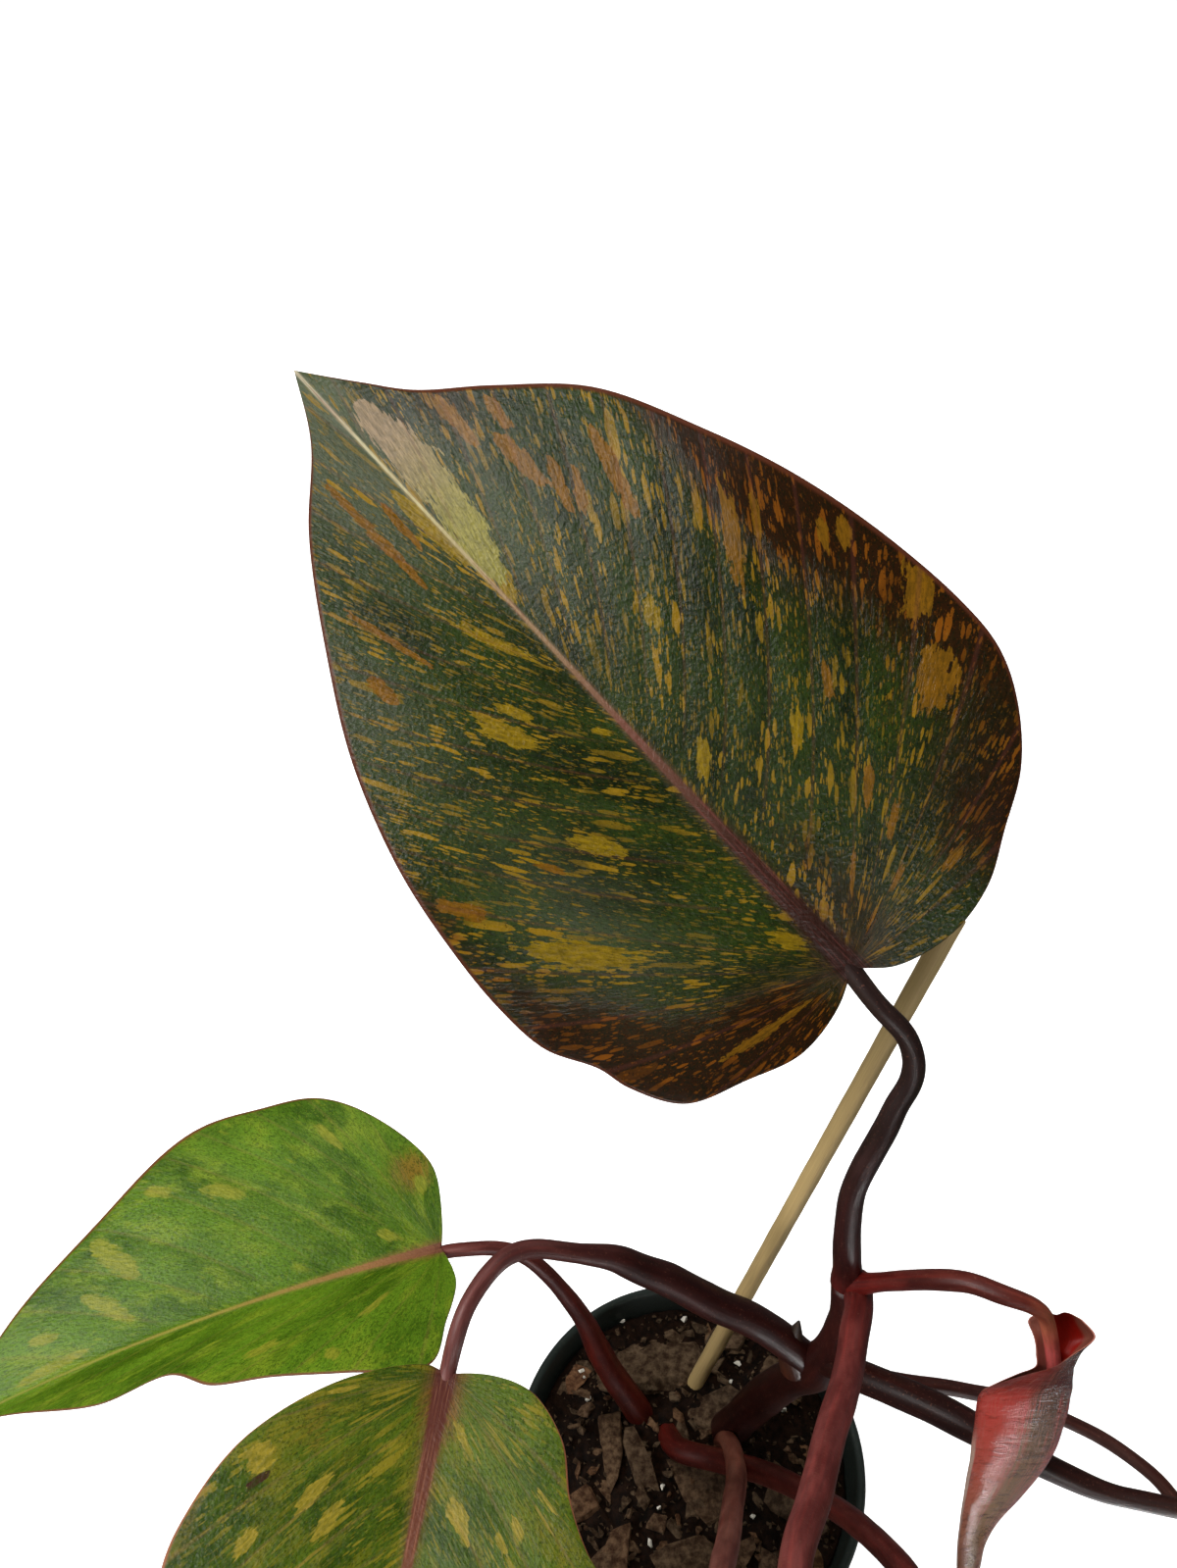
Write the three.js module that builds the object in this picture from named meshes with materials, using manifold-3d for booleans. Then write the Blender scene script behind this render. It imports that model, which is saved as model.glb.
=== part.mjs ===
// Potted orange princess philodendron, millimetres, +Z up.
// The origin is the centre of the flat underside of the pot.
import * as THREE from 'three';
import { mergeVertices } from 'three/addons/utils/BufferGeometryUtils.js';
import Module from 'manifold-3d';

const wasm = await Module();
wasm.setup();

// Clearance between pieces that touch
const GAP = 0.3;

// Nursery pot
const POT_HEIGHT = 95;
const RIM_RADIUS = 54;
const BASE_RADIUS = 36.5;
const POT_WALL = 1.5;
const POT_FLOOR = 2.2;
const RIM_BAND = 11;
const POT_SEGMENTS = 32;
const DRAIN_HOLES = 6;
const DRAIN_HOLE_RADIUS = 3.5;
const DRAIN_RING_RADIUS = 27;

// Potting mix
const SOIL_TOP = 87;
const SOIL_RELIEF = 1.1;

// Stake and stem
const STAKE_RADIUS = 2.7;
const STAKE_FOOT = [-8.5, 18.5, 40];
const STAKE_TOP = [57, 50, 281];

// Leaf blades
const BLADE_THICKNESS = 0.8;
const FAN_END = 0.42;

const vec = (p) => new THREE.Vector3(p[0], p[1], p[2]);

// The value at a share t of the way through values that are spread evenly
function spread(values, t) {
  const place = THREE.MathUtils.clamp(t, 0, 1) * (values.length - 1);
  const i = Math.min(Math.floor(place), values.length - 2);
  return THREE.MathUtils.lerp(values[i], values[i + 1], place - i);
}

// Solids

// A closed three.js geometry as a solid, its faces turned outward
function solid(geometry) {
  const plain = geometry.index ? geometry.toNonIndexed() : geometry.clone();
  plain.deleteAttribute('normal');
  plain.deleteAttribute('uv');
  const merged = mergeVertices(plain, 1e-4);
  const position = merged.attributes.position;
  const triangles = [];
  for (let i = 0; i < merged.index.count; i += 3) {
    const a = merged.index.getX(i);
    const b = merged.index.getX(i + 1);
    const c = merged.index.getX(i + 2);
    if (a !== b && b !== c && c !== a) triangles.push([a, b, c]);
  }
  const corner = (i) => new THREE.Vector3().fromBufferAttribute(position, i);
  const volume = triangles.reduce(
    (sum, [a, b, c]) => sum + corner(a).dot(corner(b).cross(corner(c))), 0);
  const outward = volume > 0 ? triangles : triangles.map(([a, b, c]) => [a, c, b]);
  return new wasm.Manifold(new wasm.Mesh({
    numProp: 3,
    vertProperties: new Float32Array(position.array),
    triVerts: new Uint32Array(outward.flat()),
  }));
}

// The largest body of a solid, without the scraps that a cut leaves
function largest(shape) {
  const bodies = shape.decompose();
  return bodies.reduce((best, body) => (body.volume() > best.volume() ? body : best));
}

function cut(shape, tools) {
  return largest(tools.reduce((rest, tool) => rest.subtract(tool), shape));
}

function mesh(name, shape, finish) {
  const data = shape.getMesh();
  const geometry = new THREE.BufferGeometry();
  const xyz = new Float32Array(data.numVert * 3);
  for (let i = 0; i < data.numVert; i++) {
    for (let k = 0; k < 3; k++) xyz[3 * i + k] = data.vertProperties[i * data.numProp + k];
  }
  geometry.setAttribute('position', new THREE.BufferAttribute(xyz, 3));
  geometry.setIndex(new THREE.BufferAttribute(new Uint32Array(data.triVerts), 1));
  geometry.computeVertexNormals();
  const result = new THREE.Mesh(geometry, new THREE.MeshStandardMaterial(finish));
  result.name = name;
  return result;
}

// A closed surface through rings of equal count, capped at both ends
function loft(rings) {
  const sides = rings[0].length;
  const points = rings.flat();
  const index = [];
  for (let r = 0; r + 1 < rings.length; r++) {
    for (let s = 0; s < sides; s++) {
      const a = r * sides + s;
      const b = r * sides + ((s + 1) % sides);
      index.push(a, b, b + sides, a, b + sides, a + sides);
    }
  }
  const last = (rings.length - 1) * sides;
  for (let s = 1; s + 1 < sides; s++) {
    index.push(0, s + 1, s);
    index.push(last, last + s, last + s + 1);
  }
  const geometry = new THREE.BufferGeometry();
  geometry.setAttribute('position',
    new THREE.Float32BufferAttribute(points.flatMap((p) => [p.x, p.y, p.z]), 3));
  geometry.setIndex(index);
  return geometry;
}

// A stalk along a smooth route; its radii are spread evenly from start to end
function stalk(route, radii, { steps = 14, sides = 8, extra = 0 } = {}) {
  const points = route.map(vec);
  const count = points.length;
  const lead = points[0].clone().sub(points[1]).setLength(extra);
  const tail = points[count - 1].clone().sub(points[count - 2]).setLength(extra);
  points[0].add(lead);
  points[count - 1].add(tail);
  const curve = new THREE.CatmullRomCurve3(points);
  const frames = curve.computeFrenetFrames(steps, false);
  const ring = (t, radius, shift) => {
    const i = Math.round(t * steps);
    const centre = curve.getPointAt(t).addScaledVector(frames.tangents[i], shift);
    return Array.from({ length: sides }, (_, s) => {
      const angle = (2 * Math.PI * s) / sides;
      return centre.clone()
        .addScaledVector(frames.normals[i], radius * Math.cos(angle))
        .addScaledVector(frames.binormals[i], radius * Math.sin(angle));
    });
  };
  const radiusAt = (t) => spread(radii, t) + extra;
  const rings = [];
  for (let i = 0; i <= steps; i++) rings.push(ring(i / steps, radiusAt(i / steps), 0));
  const end = radiusAt(1);
  rings.push(ring(1, end * 0.55, end * 0.4));
  return solid(loft(rings));
}

// A solid turned about the pot's axis, from a profile of radius and height
function turnedSolid(profile) {
  const turned = new THREE.LatheGeometry(
    profile.map(([r, z]) => new THREE.Vector2(r, z)), POT_SEGMENTS);
  turned.rotateX(Math.PI / 2);
  return turned;
}

// Pot: a tapered cup with a rolled rim and drain holes round its flat base

function potRadius(z, inside) {
  const slope = (RIM_RADIUS - 3.6 - BASE_RADIUS - 1.5) / (POT_HEIGHT - RIM_BAND);
  const outer = BASE_RADIUS + 1.5 + slope * z;
  return inside ? outer - POT_WALL : outer;
}

function pot() {
  const shoulder = POT_HEIGHT - RIM_BAND;
  const profile = [
    [0, 0], [BASE_RADIUS, 0], [BASE_RADIUS + 1.5, 1.5],
    [potRadius(shoulder, false), shoulder],
    [RIM_RADIUS - 0.8, shoulder + 0.8], [RIM_RADIUS, shoulder + 2.5],
    [RIM_RADIUS, POT_HEIGHT - 1.5], [RIM_RADIUS - 1, POT_HEIGHT],
    [RIM_RADIUS - 2.4, POT_HEIGHT - 0.4], [RIM_RADIUS - 3.2, POT_HEIGHT - 3],
    [potRadius(shoulder, true), shoulder],
    [potRadius(POT_FLOOR, true), POT_FLOOR], [0, POT_FLOOR],
  ];
  const holes = Array.from({ length: DRAIN_HOLES }, (_, i) => {
    const angle = (2 * Math.PI * i) / DRAIN_HOLES;
    const hole = new THREE.CylinderGeometry(DRAIN_HOLE_RADIUS, DRAIN_HOLE_RADIUS, 12, 8);
    hole.rotateX(Math.PI / 2);
    hole.translate(DRAIN_RING_RADIUS * Math.cos(angle), DRAIN_RING_RADIUS * Math.sin(angle), 0);
    return solid(hole);
  });
  return cut(solid(turnedSolid(profile)), holes);
}

// Soil: a plug of bark mix that fills the pot, with chips and grains on top

// Seeded draw, the same on each run
function draw(seed) {
  let state = seed;
  return () => {
    state = (state * 1664525 + 1013904223) % 4294967296;
    return state / 4294967296;
  };
}

// A flat splinter of bark, lying at a place with a turn and a tilt
function barkChip([x, y], long, wide, turn, tilt, random) {
  const outline = Array.from({ length: 8 }, (_, i) => {
    const angle = (2 * Math.PI * i) / 8;
    const reach = 0.85 + 0.3 * random();
    return new THREE.Vector2(
      0.5 * long * reach * Math.cos(angle), 0.5 * wide * reach * Math.sin(angle));
  });
  const chip = new THREE.ExtrudeGeometry(new THREE.Shape(outline),
    { depth: 4.5, bevelEnabled: false });
  chip.translate(0, 0, -3.2);
  chip.rotateX(tilt);
  chip.rotateZ(turn);
  chip.translate(x, y, SOIL_TOP + 0.6);
  return solid(chip);
}

function grain([x, y], size) {
  const ball = new THREE.IcosahedronGeometry(size, 0);
  ball.translate(x, y, SOIL_TOP + 0.5);
  return solid(ball);
}

function soil(holes) {
  const foot = POT_FLOOR + GAP;
  const shoulder = POT_HEIGHT - RIM_BAND;
  const wall = (z) => potRadius(Math.min(z, shoulder), true) - GAP;
  // The room inside the pot, which nothing of the mix leaves
  const room = solid(turnedSolid([[0, foot], [wall(foot), foot], [wall(shoulder), shoulder],
    [wall(shoulder), POT_HEIGHT], [0, POT_HEIGHT]]));
  const rings = [6, 5, 4, 3, 2, 1].map((i) => [
    (i / 6) * wall(SOIL_TOP - 4) * 0.985, SOIL_TOP - (i === 6 ? 1 : 0)]);
  const profile = [[0, foot], [wall(foot), foot], [wall(SOIL_TOP - 4), SOIL_TOP - 4],
    ...rings, [0, SOIL_TOP]];
  const turned = turnedSolid(profile);
  const place = turned.attributes.position;
  for (let i = 0; i < place.count; i++) {
    const [x, y, z] = [place.getX(i), place.getY(i), place.getZ(i)];
    if (z < SOIL_TOP - 0.5) continue;
    const rough = Math.sin(0.31 * x + 1) * Math.cos(0.27 * y + 2) + 0.6 * Math.sin(0.55 * (x - y));
    place.setZ(i, z + SOIL_RELIEF * rough);
  }
  const random = draw(7);
  // Place, length, width, turn and tilt of the large chips
  const chips = [
    [[-8, 30], 44, 28, 0.1, 0.05], [[-36, 18], 15, 9, 1.2, 0.2],
    [[-28, -10], 33, 13, -1.3, 0.15], [[-12, -22], 30, 12, -1.1, -0.15],
    [[3, -34], 26, 12, 0.5, 0.1], [[36, -16], 18, 7, 1.9, 0.2],
    [[33, 4], 17, 12, 0.4, -0.1], [[-30, -32], 20, 13, 0.7, 0.1],
    [[28, 24], 22, 13, 2.4, 0.12], [[24, -32], 19, 9, 2.2, -0.15],
  ].map(([at, long, wide, turn, tilt]) => barkChip(at, long, wide, turn, tilt, random));
  const grains = Array.from({ length: 14 }, () => {
    const angle = 2 * Math.PI * random();
    const reach = 14 + 30 * random();
    return grain([reach * Math.cos(angle), reach * Math.sin(angle)], 1.7 + 0.8 * random());
  });
  const top = [...chips, ...grains].reduce((all, piece) => all.add(piece), solid(turned));
  return cut(top.intersect(room), holes);
}

// Leaf blades: a height field over the leaf's own plane, with the vein fans as its grid

// Outlines in lengths of the leaf: how far along the midrib, how far to the side
const HEART = [
  [0, 0.01], [-0.03, 0.05], [-0.05, 0.12], [-0.03, 0.2], [0.03, 0.28], [0.11, 0.34], [0.22, 0.37],
  [0.35, 0.36], [0.5, 0.31], [0.65, 0.23], [0.8, 0.135], [0.91, 0.05], [1, 0]];
const A_RIGHT = [
  [0, 0.01], [-0.03, 0.035], [-0.046, 0.11], [-0.03, 0.18], [0.01, 0.24], [0.05, 0.295],
  [0.11, 0.34], [0.17, 0.365], [0.24, 0.37], [0.34, 0.36], [0.45, 0.335], [0.57, 0.295],
  [0.7, 0.24], [0.79, 0.16], [0.86, 0.09], [0.92, 0.05], [1, 0]];
const A_LEFT = [
  [0, 0.01], [-0.02, 0.035], [-0.033, 0.11], [-0.01, 0.18], [0.02, 0.25], [0.08, 0.285],
  [0.12, 0.295], [0.18, 0.325], [0.25, 0.33], [0.35, 0.32], [0.46, 0.3], [0.58, 0.26],
  [0.7, 0.195], [0.82, 0.12], [0.91, 0.045], [1, 0]];
const B_RIGHT = [
  [0, 0.01], [-0.02, 0.07], [-0.025, 0.165], [0.06, 0.285], [0.18, 0.37], [0.3, 0.39],
  [0.43, 0.38], [0.67, 0.25], [0.87, 0.125], [1, 0]];
const B_LEFT = [
  [0, 0.01], [-0.02, 0.11], [0.01, 0.215], [0.05, 0.305], [0.2, 0.265], [0.33, 0.225],
  [0.44, 0.195], [0.53, 0.125], [0.66, 0.13], [0.88, 0.035], [1, 0]];
const C_RIGHT = [
  [0, 0.01], [-0.01, 0.03], [0.035, 0.17], [0.145, 0.305], [0.26, 0.365], [0.34, 0.38], [0.5, 0.34],
  [0.65, 0.25], [0.8, 0.14], [0.91, 0.05], [1, 0]];
const C_LEFT = [
  [0, 0.01], [-0.01, 0.08], [0.007, 0.157], [0.072, 0.22], [0.153, 0.246], [0.22, 0.285],
  [0.28, 0.34], [0.38, 0.36], [0.5, 0.32], [0.65, 0.23], [0.8, 0.13], [0.91, 0.05], [1, 0]];

// The frame of a leaf: along its midrib, to its right and up from its upper face
function leafFrame({ base, tip, up }) {
  const origin = vec(base);
  const along = vec(tip).sub(origin);
  const length = along.length();
  along.normalize();
  const raised = vec(up);
  raised.addScaledVector(along, -raised.dot(along)).normalize();
  const right = new THREE.Vector3().crossVectors(along, raised);
  return { origin, along, right, raised, length };
}

// Rise of the blade over its plane, in lengths of the leaf
function bladeRise({ arch = 0.05, fold = 0.25, curl = 0.4, wave = 0.008 }, s, c) {
  const side = Math.abs(c) / 0.37;
  const crease = Math.hypot(side, 0.05) - 0.05;
  const spine = 4 * arch * s * (1 - s) * (s < 0 ? 0.6 : 1);
  const ripple = wave * Math.sin(15 * s + (c > 0 ? 0 : 2)) * side * side;
  return spine + fold * 0.37 * crease * (1 - curl * side) + ripple;
}

function bladePoint(leaf, frame, s, c, lift) {
  const at = (a, b) => frame.origin.clone()
    .addScaledVector(frame.along, a * frame.length)
    .addScaledVector(frame.right, b * frame.length)
    .addScaledVector(frame.raised, bladeRise(leaf, a, b) * frame.length);
  const step = 0.004;
  const tangent = at(s + step, c).sub(at(s - step, c));
  const across = at(s, c + step).sub(at(s, c - step));
  const normal = tangent.cross(across).negate().normalize();
  if (normal.dot(frame.raised) < 0) normal.negate();
  return at(s, c).addScaledVector(normal, lift);
}

// The plate of a blade, split alike on both faces
function bladePlate(leaf, frame) {
  const { right, left, around = 16, rows = 3 } = leaf;
  const corners = [];
  const known = new Map();
  const corner = (s, c) => {
    const key = `${s.toFixed(4)} ${c.toFixed(4)}`;
    if (!known.has(key)) {
      known.set(key, corners.length);
      corners.push([s, c]);
    }
    return known.get(key);
  };
  const faces = [];
  const face = (a, b, c) => {
    if (a !== b && b !== c && c !== a) faces.push([a, b, c]);
  };
  const rimOf = (outline) => new THREE.CatmullRomCurve3(
    outline.map(([s, c]) => new THREE.Vector3(s, c, 0))).getSpacedPoints(around);
  const rims = [rimOf(right), rimOf(left)];
  // Both halves share the points on the midrib that their veins leave from
  const roots = rims[0].map((point, i) => {
    const along = (point.x + rims[1][i].x) / 2;
    return Math.max(0, (along - FAN_END) / (1 - FAN_END));
  });
  for (const [rim, sign] of [[rims[0], 1], [rims[1], -1]]) {
    const grid = rim.map((point, i) => Array.from({ length: rows + 1 }, (_, k) => {
      const t = k / rows;
      const c = Math.max(0, point.y) * t * sign;
      return corner(THREE.MathUtils.lerp(roots[i], point.x, t), c === 0 ? 0 : c);
    }));
    grid[0] = grid[0].map(() => corner(0, 0));
    for (let i = 0; i < around; i++) {
      for (let k = 0; k < rows; k++) {
        const [p, q, r, t] = [grid[i][k], grid[i + 1][k], grid[i + 1][k + 1], grid[i][k + 1]];
        const quad = sign > 0 ? [[p, q, r], [p, r, t]] : [[p, r, q], [p, t, r]];
        quad.forEach((three) => face(...three));
      }
    }
  }
  return thicken(corners, faces, (s, c, lift) => bladePoint(leaf, frame, s, c, lift));
}

// A closed plate from a flat net: both faces and the walls along its open edges
function thicken(corners, faces, place) {
  const half = BLADE_THICKNESS / 2;
  const upper = corners.map(([s, c]) => place(s, c, half));
  const lower = corners.map(([s, c]) => place(s, c, -half));
  const points = [...upper, ...lower];
  const count = corners.length;
  const open = new Map();
  for (const [a, b, c] of faces) {
    for (const [from, to] of [[a, b], [b, c], [c, a]]) {
      if (open.has(`${to} ${from}`)) open.delete(`${to} ${from}`);
      else open.set(`${from} ${to}`, [from, to]);
    }
  }
  const index = faces.flatMap(([a, b, c]) => [a, b, c, a + count, c + count, b + count]);
  for (const [from, to] of open.values()) {
    index.push(from, from + count, to + count, from, to + count, to);
  }
  const geometry = new THREE.BufferGeometry();
  geometry.setAttribute('position',
    new THREE.Float32BufferAttribute(points.flatMap((p) => [p.x, p.y, p.z]), 3));
  geometry.setIndex(index);
  return solid(geometry);
}

// A blade with its midrib standing out of the underside, clear of what is near it
function blade(leaf, near) {
  const frame = leafFrame(leaf);
  const rib = leaf.rib ?? 1.6;
  const spots = [0.01, 0.2, 0.4, 0.6, 0.8, 0.92];
  const route = spots.map((s) => {
    const p = bladePoint(leaf, frame, s, 0, -0.75 * rib * (1 - 0.75 * s));
    return [p.x, p.y, p.z];
  });
  const midrib = stalk(route, [rib, rib * 0.75, rib * 0.5, rib * 0.25], { steps: 6, sides: 5 });
  return cut(bladePlate(leaf, frame).add(midrib), near);
}

// The young leaf, still rolled into a cone. Its rays run from the margin to the tip, and the
// mouth is cut aslant, so that each ray starts at a height of its own.
function rolledLeaf({ rings, rays, wall, ahead }) {
  const steps = 15;
  const cavity = 8;
  const right = new THREE.Vector3(1, 0, 0);
  const forward = vec(ahead);
  const ring = (i, inset) => rays.map(([degrees, top]) => {
    const t = top + (1 - top) * (i / steps) ** 1.4;
    const [x, y, z, wide, deep] = rings[0].map((_, k) => spread(rings.map((row) => row[k]), t));
    const angle = THREE.MathUtils.degToRad(degrees);
    return new THREE.Vector3(x, y, z)
      .addScaledVector(right, (wide - inset) * Math.cos(angle))
      .addScaledVector(forward, (deep - inset) * Math.sin(angle));
  });
  const outside = [];
  for (let i = steps; i >= 0; i--) outside.push(ring(i, 0));
  const inside = [];
  for (let i = 0; i <= cavity; i++) inside.push(ring(i, wall));
  return solid(loft([...outside, ...inside]));
}

// Routes of the stem and the leaf stalks, base to tip, with radii at even steps along them
const STEM = {
  route: [[7, 12, 62], [14.5, 10, 88], [21.5, 9, 111], [27.5, 6, 132], [32.5, 1.5, 150],
    [34.5, -2, 171], [35, -3, 191], [33.5, -3, 206]],
  radii: [5.8, 6.2, 5.4, 5.9, 5.2, 6.2, 5, 4.6, 4.8],
};
// A dried scale that still stands on the stem
const SCALE = { route: [[27, 2, 150], [25, 3, 158], [26, 5, 170]], radii: [4.5, 3.8, 0.4] };
const STALKS = {
  a: { radii: [3.7, 3.4, 3.1, 2.9, 2.9, 2.6, 2.4, 2.3, 2.3], route: [
    [33, -2, 206], [30.5, -1, 223.5], [30, 0.5, 231.5], [30, 2, 238.5], [31, 3, 245.5],
    [33.5, 5, 253], [35.5, 6, 261], [37, 7.5, 267], [39, 8.5, 272], [39.5, 10, 277],
    [38.5, 12, 281], [36.5, 13.5, 284.5], [33, 15, 287.5], [29.5, 17.5, 290.5], [26, 20.5, 293.5]] },
  d: { radii: [2.6, 2.2, 2.3, 2.4, 2.2, 1.8, 1.7, 1.7], route: [
    [34, -4, 208], [37.5, -6.5, 214], [43.5, -10, 222], [48.5, -14, 230], [54, -17, 234.5],
    [59.5, -20.5, 236], [65, -22.5, 236], [68.2, -23.2, 233.7],
    [70.2, -23.7, 229.2], [71.9, -25, 224.1], [73, -26.6, 219.5], [73.8, -28.2, 215.6]] },
  e: { radii: [3.6, 3.5, 3.5, 3.4, 3.3, 3, 2.6], route: [
    [35, -1.5, 205], [34.5, -8.5, 207], [31.5, -16.5, 209.5], [29, -24, 211.5],
    [24.5, -34.5, 218], [19.5, -44.5, 225], [12, -61.5, 237.5], [5, -76, 249.5],
    [2.5, -90, 256.2]] },
  c: { radii: [4.2, 4.5, 4.6, 4.5, 4.4, 3.7, 2.5, 2.4, 2.3, 2.2, 2.1], route: [
    [32, 2, 151], [26.5, 2.5, 158], [19, 4, 166], [11.5, 5, 172.5], [4.5, 5.5, 177],
    [-3, 6.5, 182.5], [-10, 7.5, 188], [-17.5, 8, 192.5], [-24.5, 8, 198.5], [-31, 7.5, 201],
    [-37.5, 7, 203.5], [-44.5, 6.5, 206], [-51, 4.5, 207], [-54.5, 2, 206], [-57.5, -1, 204.5],
    [-61.5, -7, 202], [-63.5, -11.5, 198.5], [-65.5, -17, 192.5]] },
  b: { radii: [4.4, 4.4, 4.2, 3.8, 3, 2.5, 2.3, 2.1, 2], route: [
    [-9, 11, 74], [-17.5, 17.5, 90], [-23.5, 21, 100.5], [-28.5, 23.5, 114], [-32.5, 25.5, 127.5],
    [-38, 28, 138.5], [-45, 31, 148.5], [-51.5, 33, 154], [-59, 33.5, 156.5], [-66, 33, 157],
    [-73.5, 33, 156]] },
  f: { radii: [3.9, 3.9, 4, 3.9, 3.4, 2.8, 2.2, 2.2, 2.4, 2.4], route: [
    [34, -2, 163], [37, -8.5, 171], [42.5, -13.5, 176], [49, -18.5, 180], [55, -23, 183],
    [60.5, -27, 184.5], [69.5, -32.5, 185], [76, -36, 185], [83.5, -39.5, 184.5],
    [90, -42.5, 185], [96.5, -44.5, 186.5], [103, -46.5, 188], [114.5, -49.5, 191],
    [125, -51, 194]] },
  g: { radii: [2.6, 2.2, 2, 1.9, 1.7, 1.7, 1.9, 1.9, 1.9], route: [
    [34, 0, 160], [42.5, -6, 163.5], [53.5, -8.5, 164], [64.5, -10.5, 165.5], [70.5, -12, 166],
    [82, -15.5, 169], [92, -20.5, 169], [98, -24, 169.5], [104, -29, 170], [110, -35, 169.5],
    [114, -43, 168], [120, -55.5, 163], [127, -68.5, 153.5]] },
  h: { radii: [3.2, 3, 3, 2.9, 2.9, 2.8, 2.6, 2.4], route: [
    [10.5, 7.5, 76], [12, 6, 88], [12.5, -2, 102.5], [11.5, -13.5, 117], [6, -33.5, 147.5],
    [1.5, -49, 172.5], [-2, -59, 190], [-7, -76, 213.5], [-11, -87, 225], [-14, -97, 232.4]] },
  i: { radii: [3.6, 3.6, 3.4, 3.2, 3, 2.9, 2.8, 2.6, 2.5], route: [
    [-9, 14, 72], [-6.5, 12.5, 81], [-3.5, 3, 89.5], [9, -4.5, 100], [19.5, -14.5, 118.5],
    [27.5, -27.5, 141], [32.5, -41, 165], [36, -59, 193.5], [38, -71.5, 208],
    [41, -85, 219], [46, -99.5, 224.4]] },
};

// Blades: base, tip and upper face, outlines of both halves, and their bends
const BLADES = {
  a: { base: [25.1, 21.5, 295.6], tip: [-96.7, 113.7, 389.8], up: [-0.09, -0.768, 0.635],
    right: A_RIGHT, left: A_LEFT, around: 28, rows: 6, fold: 0.22, curl: 0.45, rib: 2 },
  b: { base: [-75, 33, 157], tip: [-211, -10, 137], up: [0, 0.12, 0.99],
    right: B_RIGHT, left: B_LEFT, around: 22, rows: 4, fold: 0.5, curl: 0.32 },
  c: { base: [-66, -18.5, 192], tip: [-87, -148, 145], up: [0, -0.34, 0.94],
    right: C_RIGHT, left: C_LEFT, around: 20, rows: 4, fold: 0.2, arch: 0.04 },
  e: { base: [2, -92, 257], tip: [18, -232, 214], up: [0, -0.2, 1],
    right: HEART, left: HEART, fold: 0.3, arch: 0.06 },
  f: { base: [126, -51, 195], tip: [252, -50, 158], up: [0.2, 0, 1],
    right: HEART, left: HEART, fold: 0.3, arch: 0.06 },
  g: { base: [128, -70, 154], tip: [222, -162, 114], up: [0.2, -0.1, 1],
    right: HEART, left: HEART, fold: 0.32, arch: 0.05 },
  h: { base: [-14, -97, 233.4], tip: [-104, -195, 181], up: [-0.1, -0.3, 1],
    right: HEART, left: HEART, fold: 0.3, arch: 0.06 },
  i: { base: [46, -100, 225], tip: [122, -206, 178], up: [0.1, -0.2, 1],
    right: HEART, left: HEART, fold: 0.3, arch: 0.06 },
};

const ROLLED_LEAF = {
  // Middle of each ring from the mouth to the tip, its half width and its half depth
  rings: [
    [71.5, -22.2, 232.5, 5.6, 6], [72.3, -23.4, 229.5, 6.8, 6.8], [74.1, -25.4, 226.4, 6.9, 6.6],
    [73, -27.4, 223.2, 5.2, 5.6], [72.5, -29, 220.5, 4.5, 5.8], [70.5, -29.9, 218.7, 6.3, 7.2],
    [68.1, -31.1, 216.5, 8.8, 8.8], [66.4, -32.4, 214.1, 10.4, 10], [66, -34.5, 210.1, 10.4, 10.2],
    [65.4, -37, 205.6, 10.1, 9.8], [64.4, -40, 200.5, 9.4, 8.9], [62.8, -42.6, 195.4, 8.2, 7.8],
    [60.6, -45.5, 190.2, 6.5, 6.2], [58.3, -48.3, 184.9, 4.5, 4.3], [56.9, -51.2, 179.6, 3.3, 3.1],
    [56.6, -54.2, 174.2, 2.8, 2.6], [56.2, -57.3, 168.6, 2, 1.9], [55.5, -60.4, 163, 0.5, 0.5]],
  // The rays: their angle in degrees and where on the way from mouth to tip each one starts
  rays: [
    [195, 0.062], [208, 0.034], [222, 0.02], [238, 0.007], [256, 0.01], [274, 0.02],
    [292, 0.012], [310, 0.02], [328, 0.039], [344, 0.074], [0, 0.118], [16, 0.143], [34, 0.165],
    [54, 0.19], [74, 0.217], [94, 0.243], [114, 0.279], [134, 0.312], [152, 0.347], [168, 0.38],
    [180, 0.412], [185, 0.353], [189, 0.272], [192, 0.162]],
  wall: 0.9,
  ahead: [-0.324, -0.376, 0.868],
};

// Finishes
const MAROON = { color: 0x4a2226, roughness: 0.45, metalness: 0 };
const DARK_LEAF = { color: 0x2e3a22, roughness: 0.4, metalness: 0 };
const GREEN_LEAF = { color: 0x587a35, roughness: 0.45, metalness: 0 };
const RED_LEAF = { color: 0x7a2a25, roughness: 0.3, metalness: 0 };
const POT_PLASTIC = { color: 0x26302e, roughness: 0.5, metalness: 0 };
const MIX = { color: 0x2c211a, roughness: 0.95, metalness: 0 };
const BAMBOO = { color: 0xbfa878, roughness: 0.7, metalness: 0 };
const SHEATH = { color: 0x6e3a22, roughness: 0.6, metalness: 0 };

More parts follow.
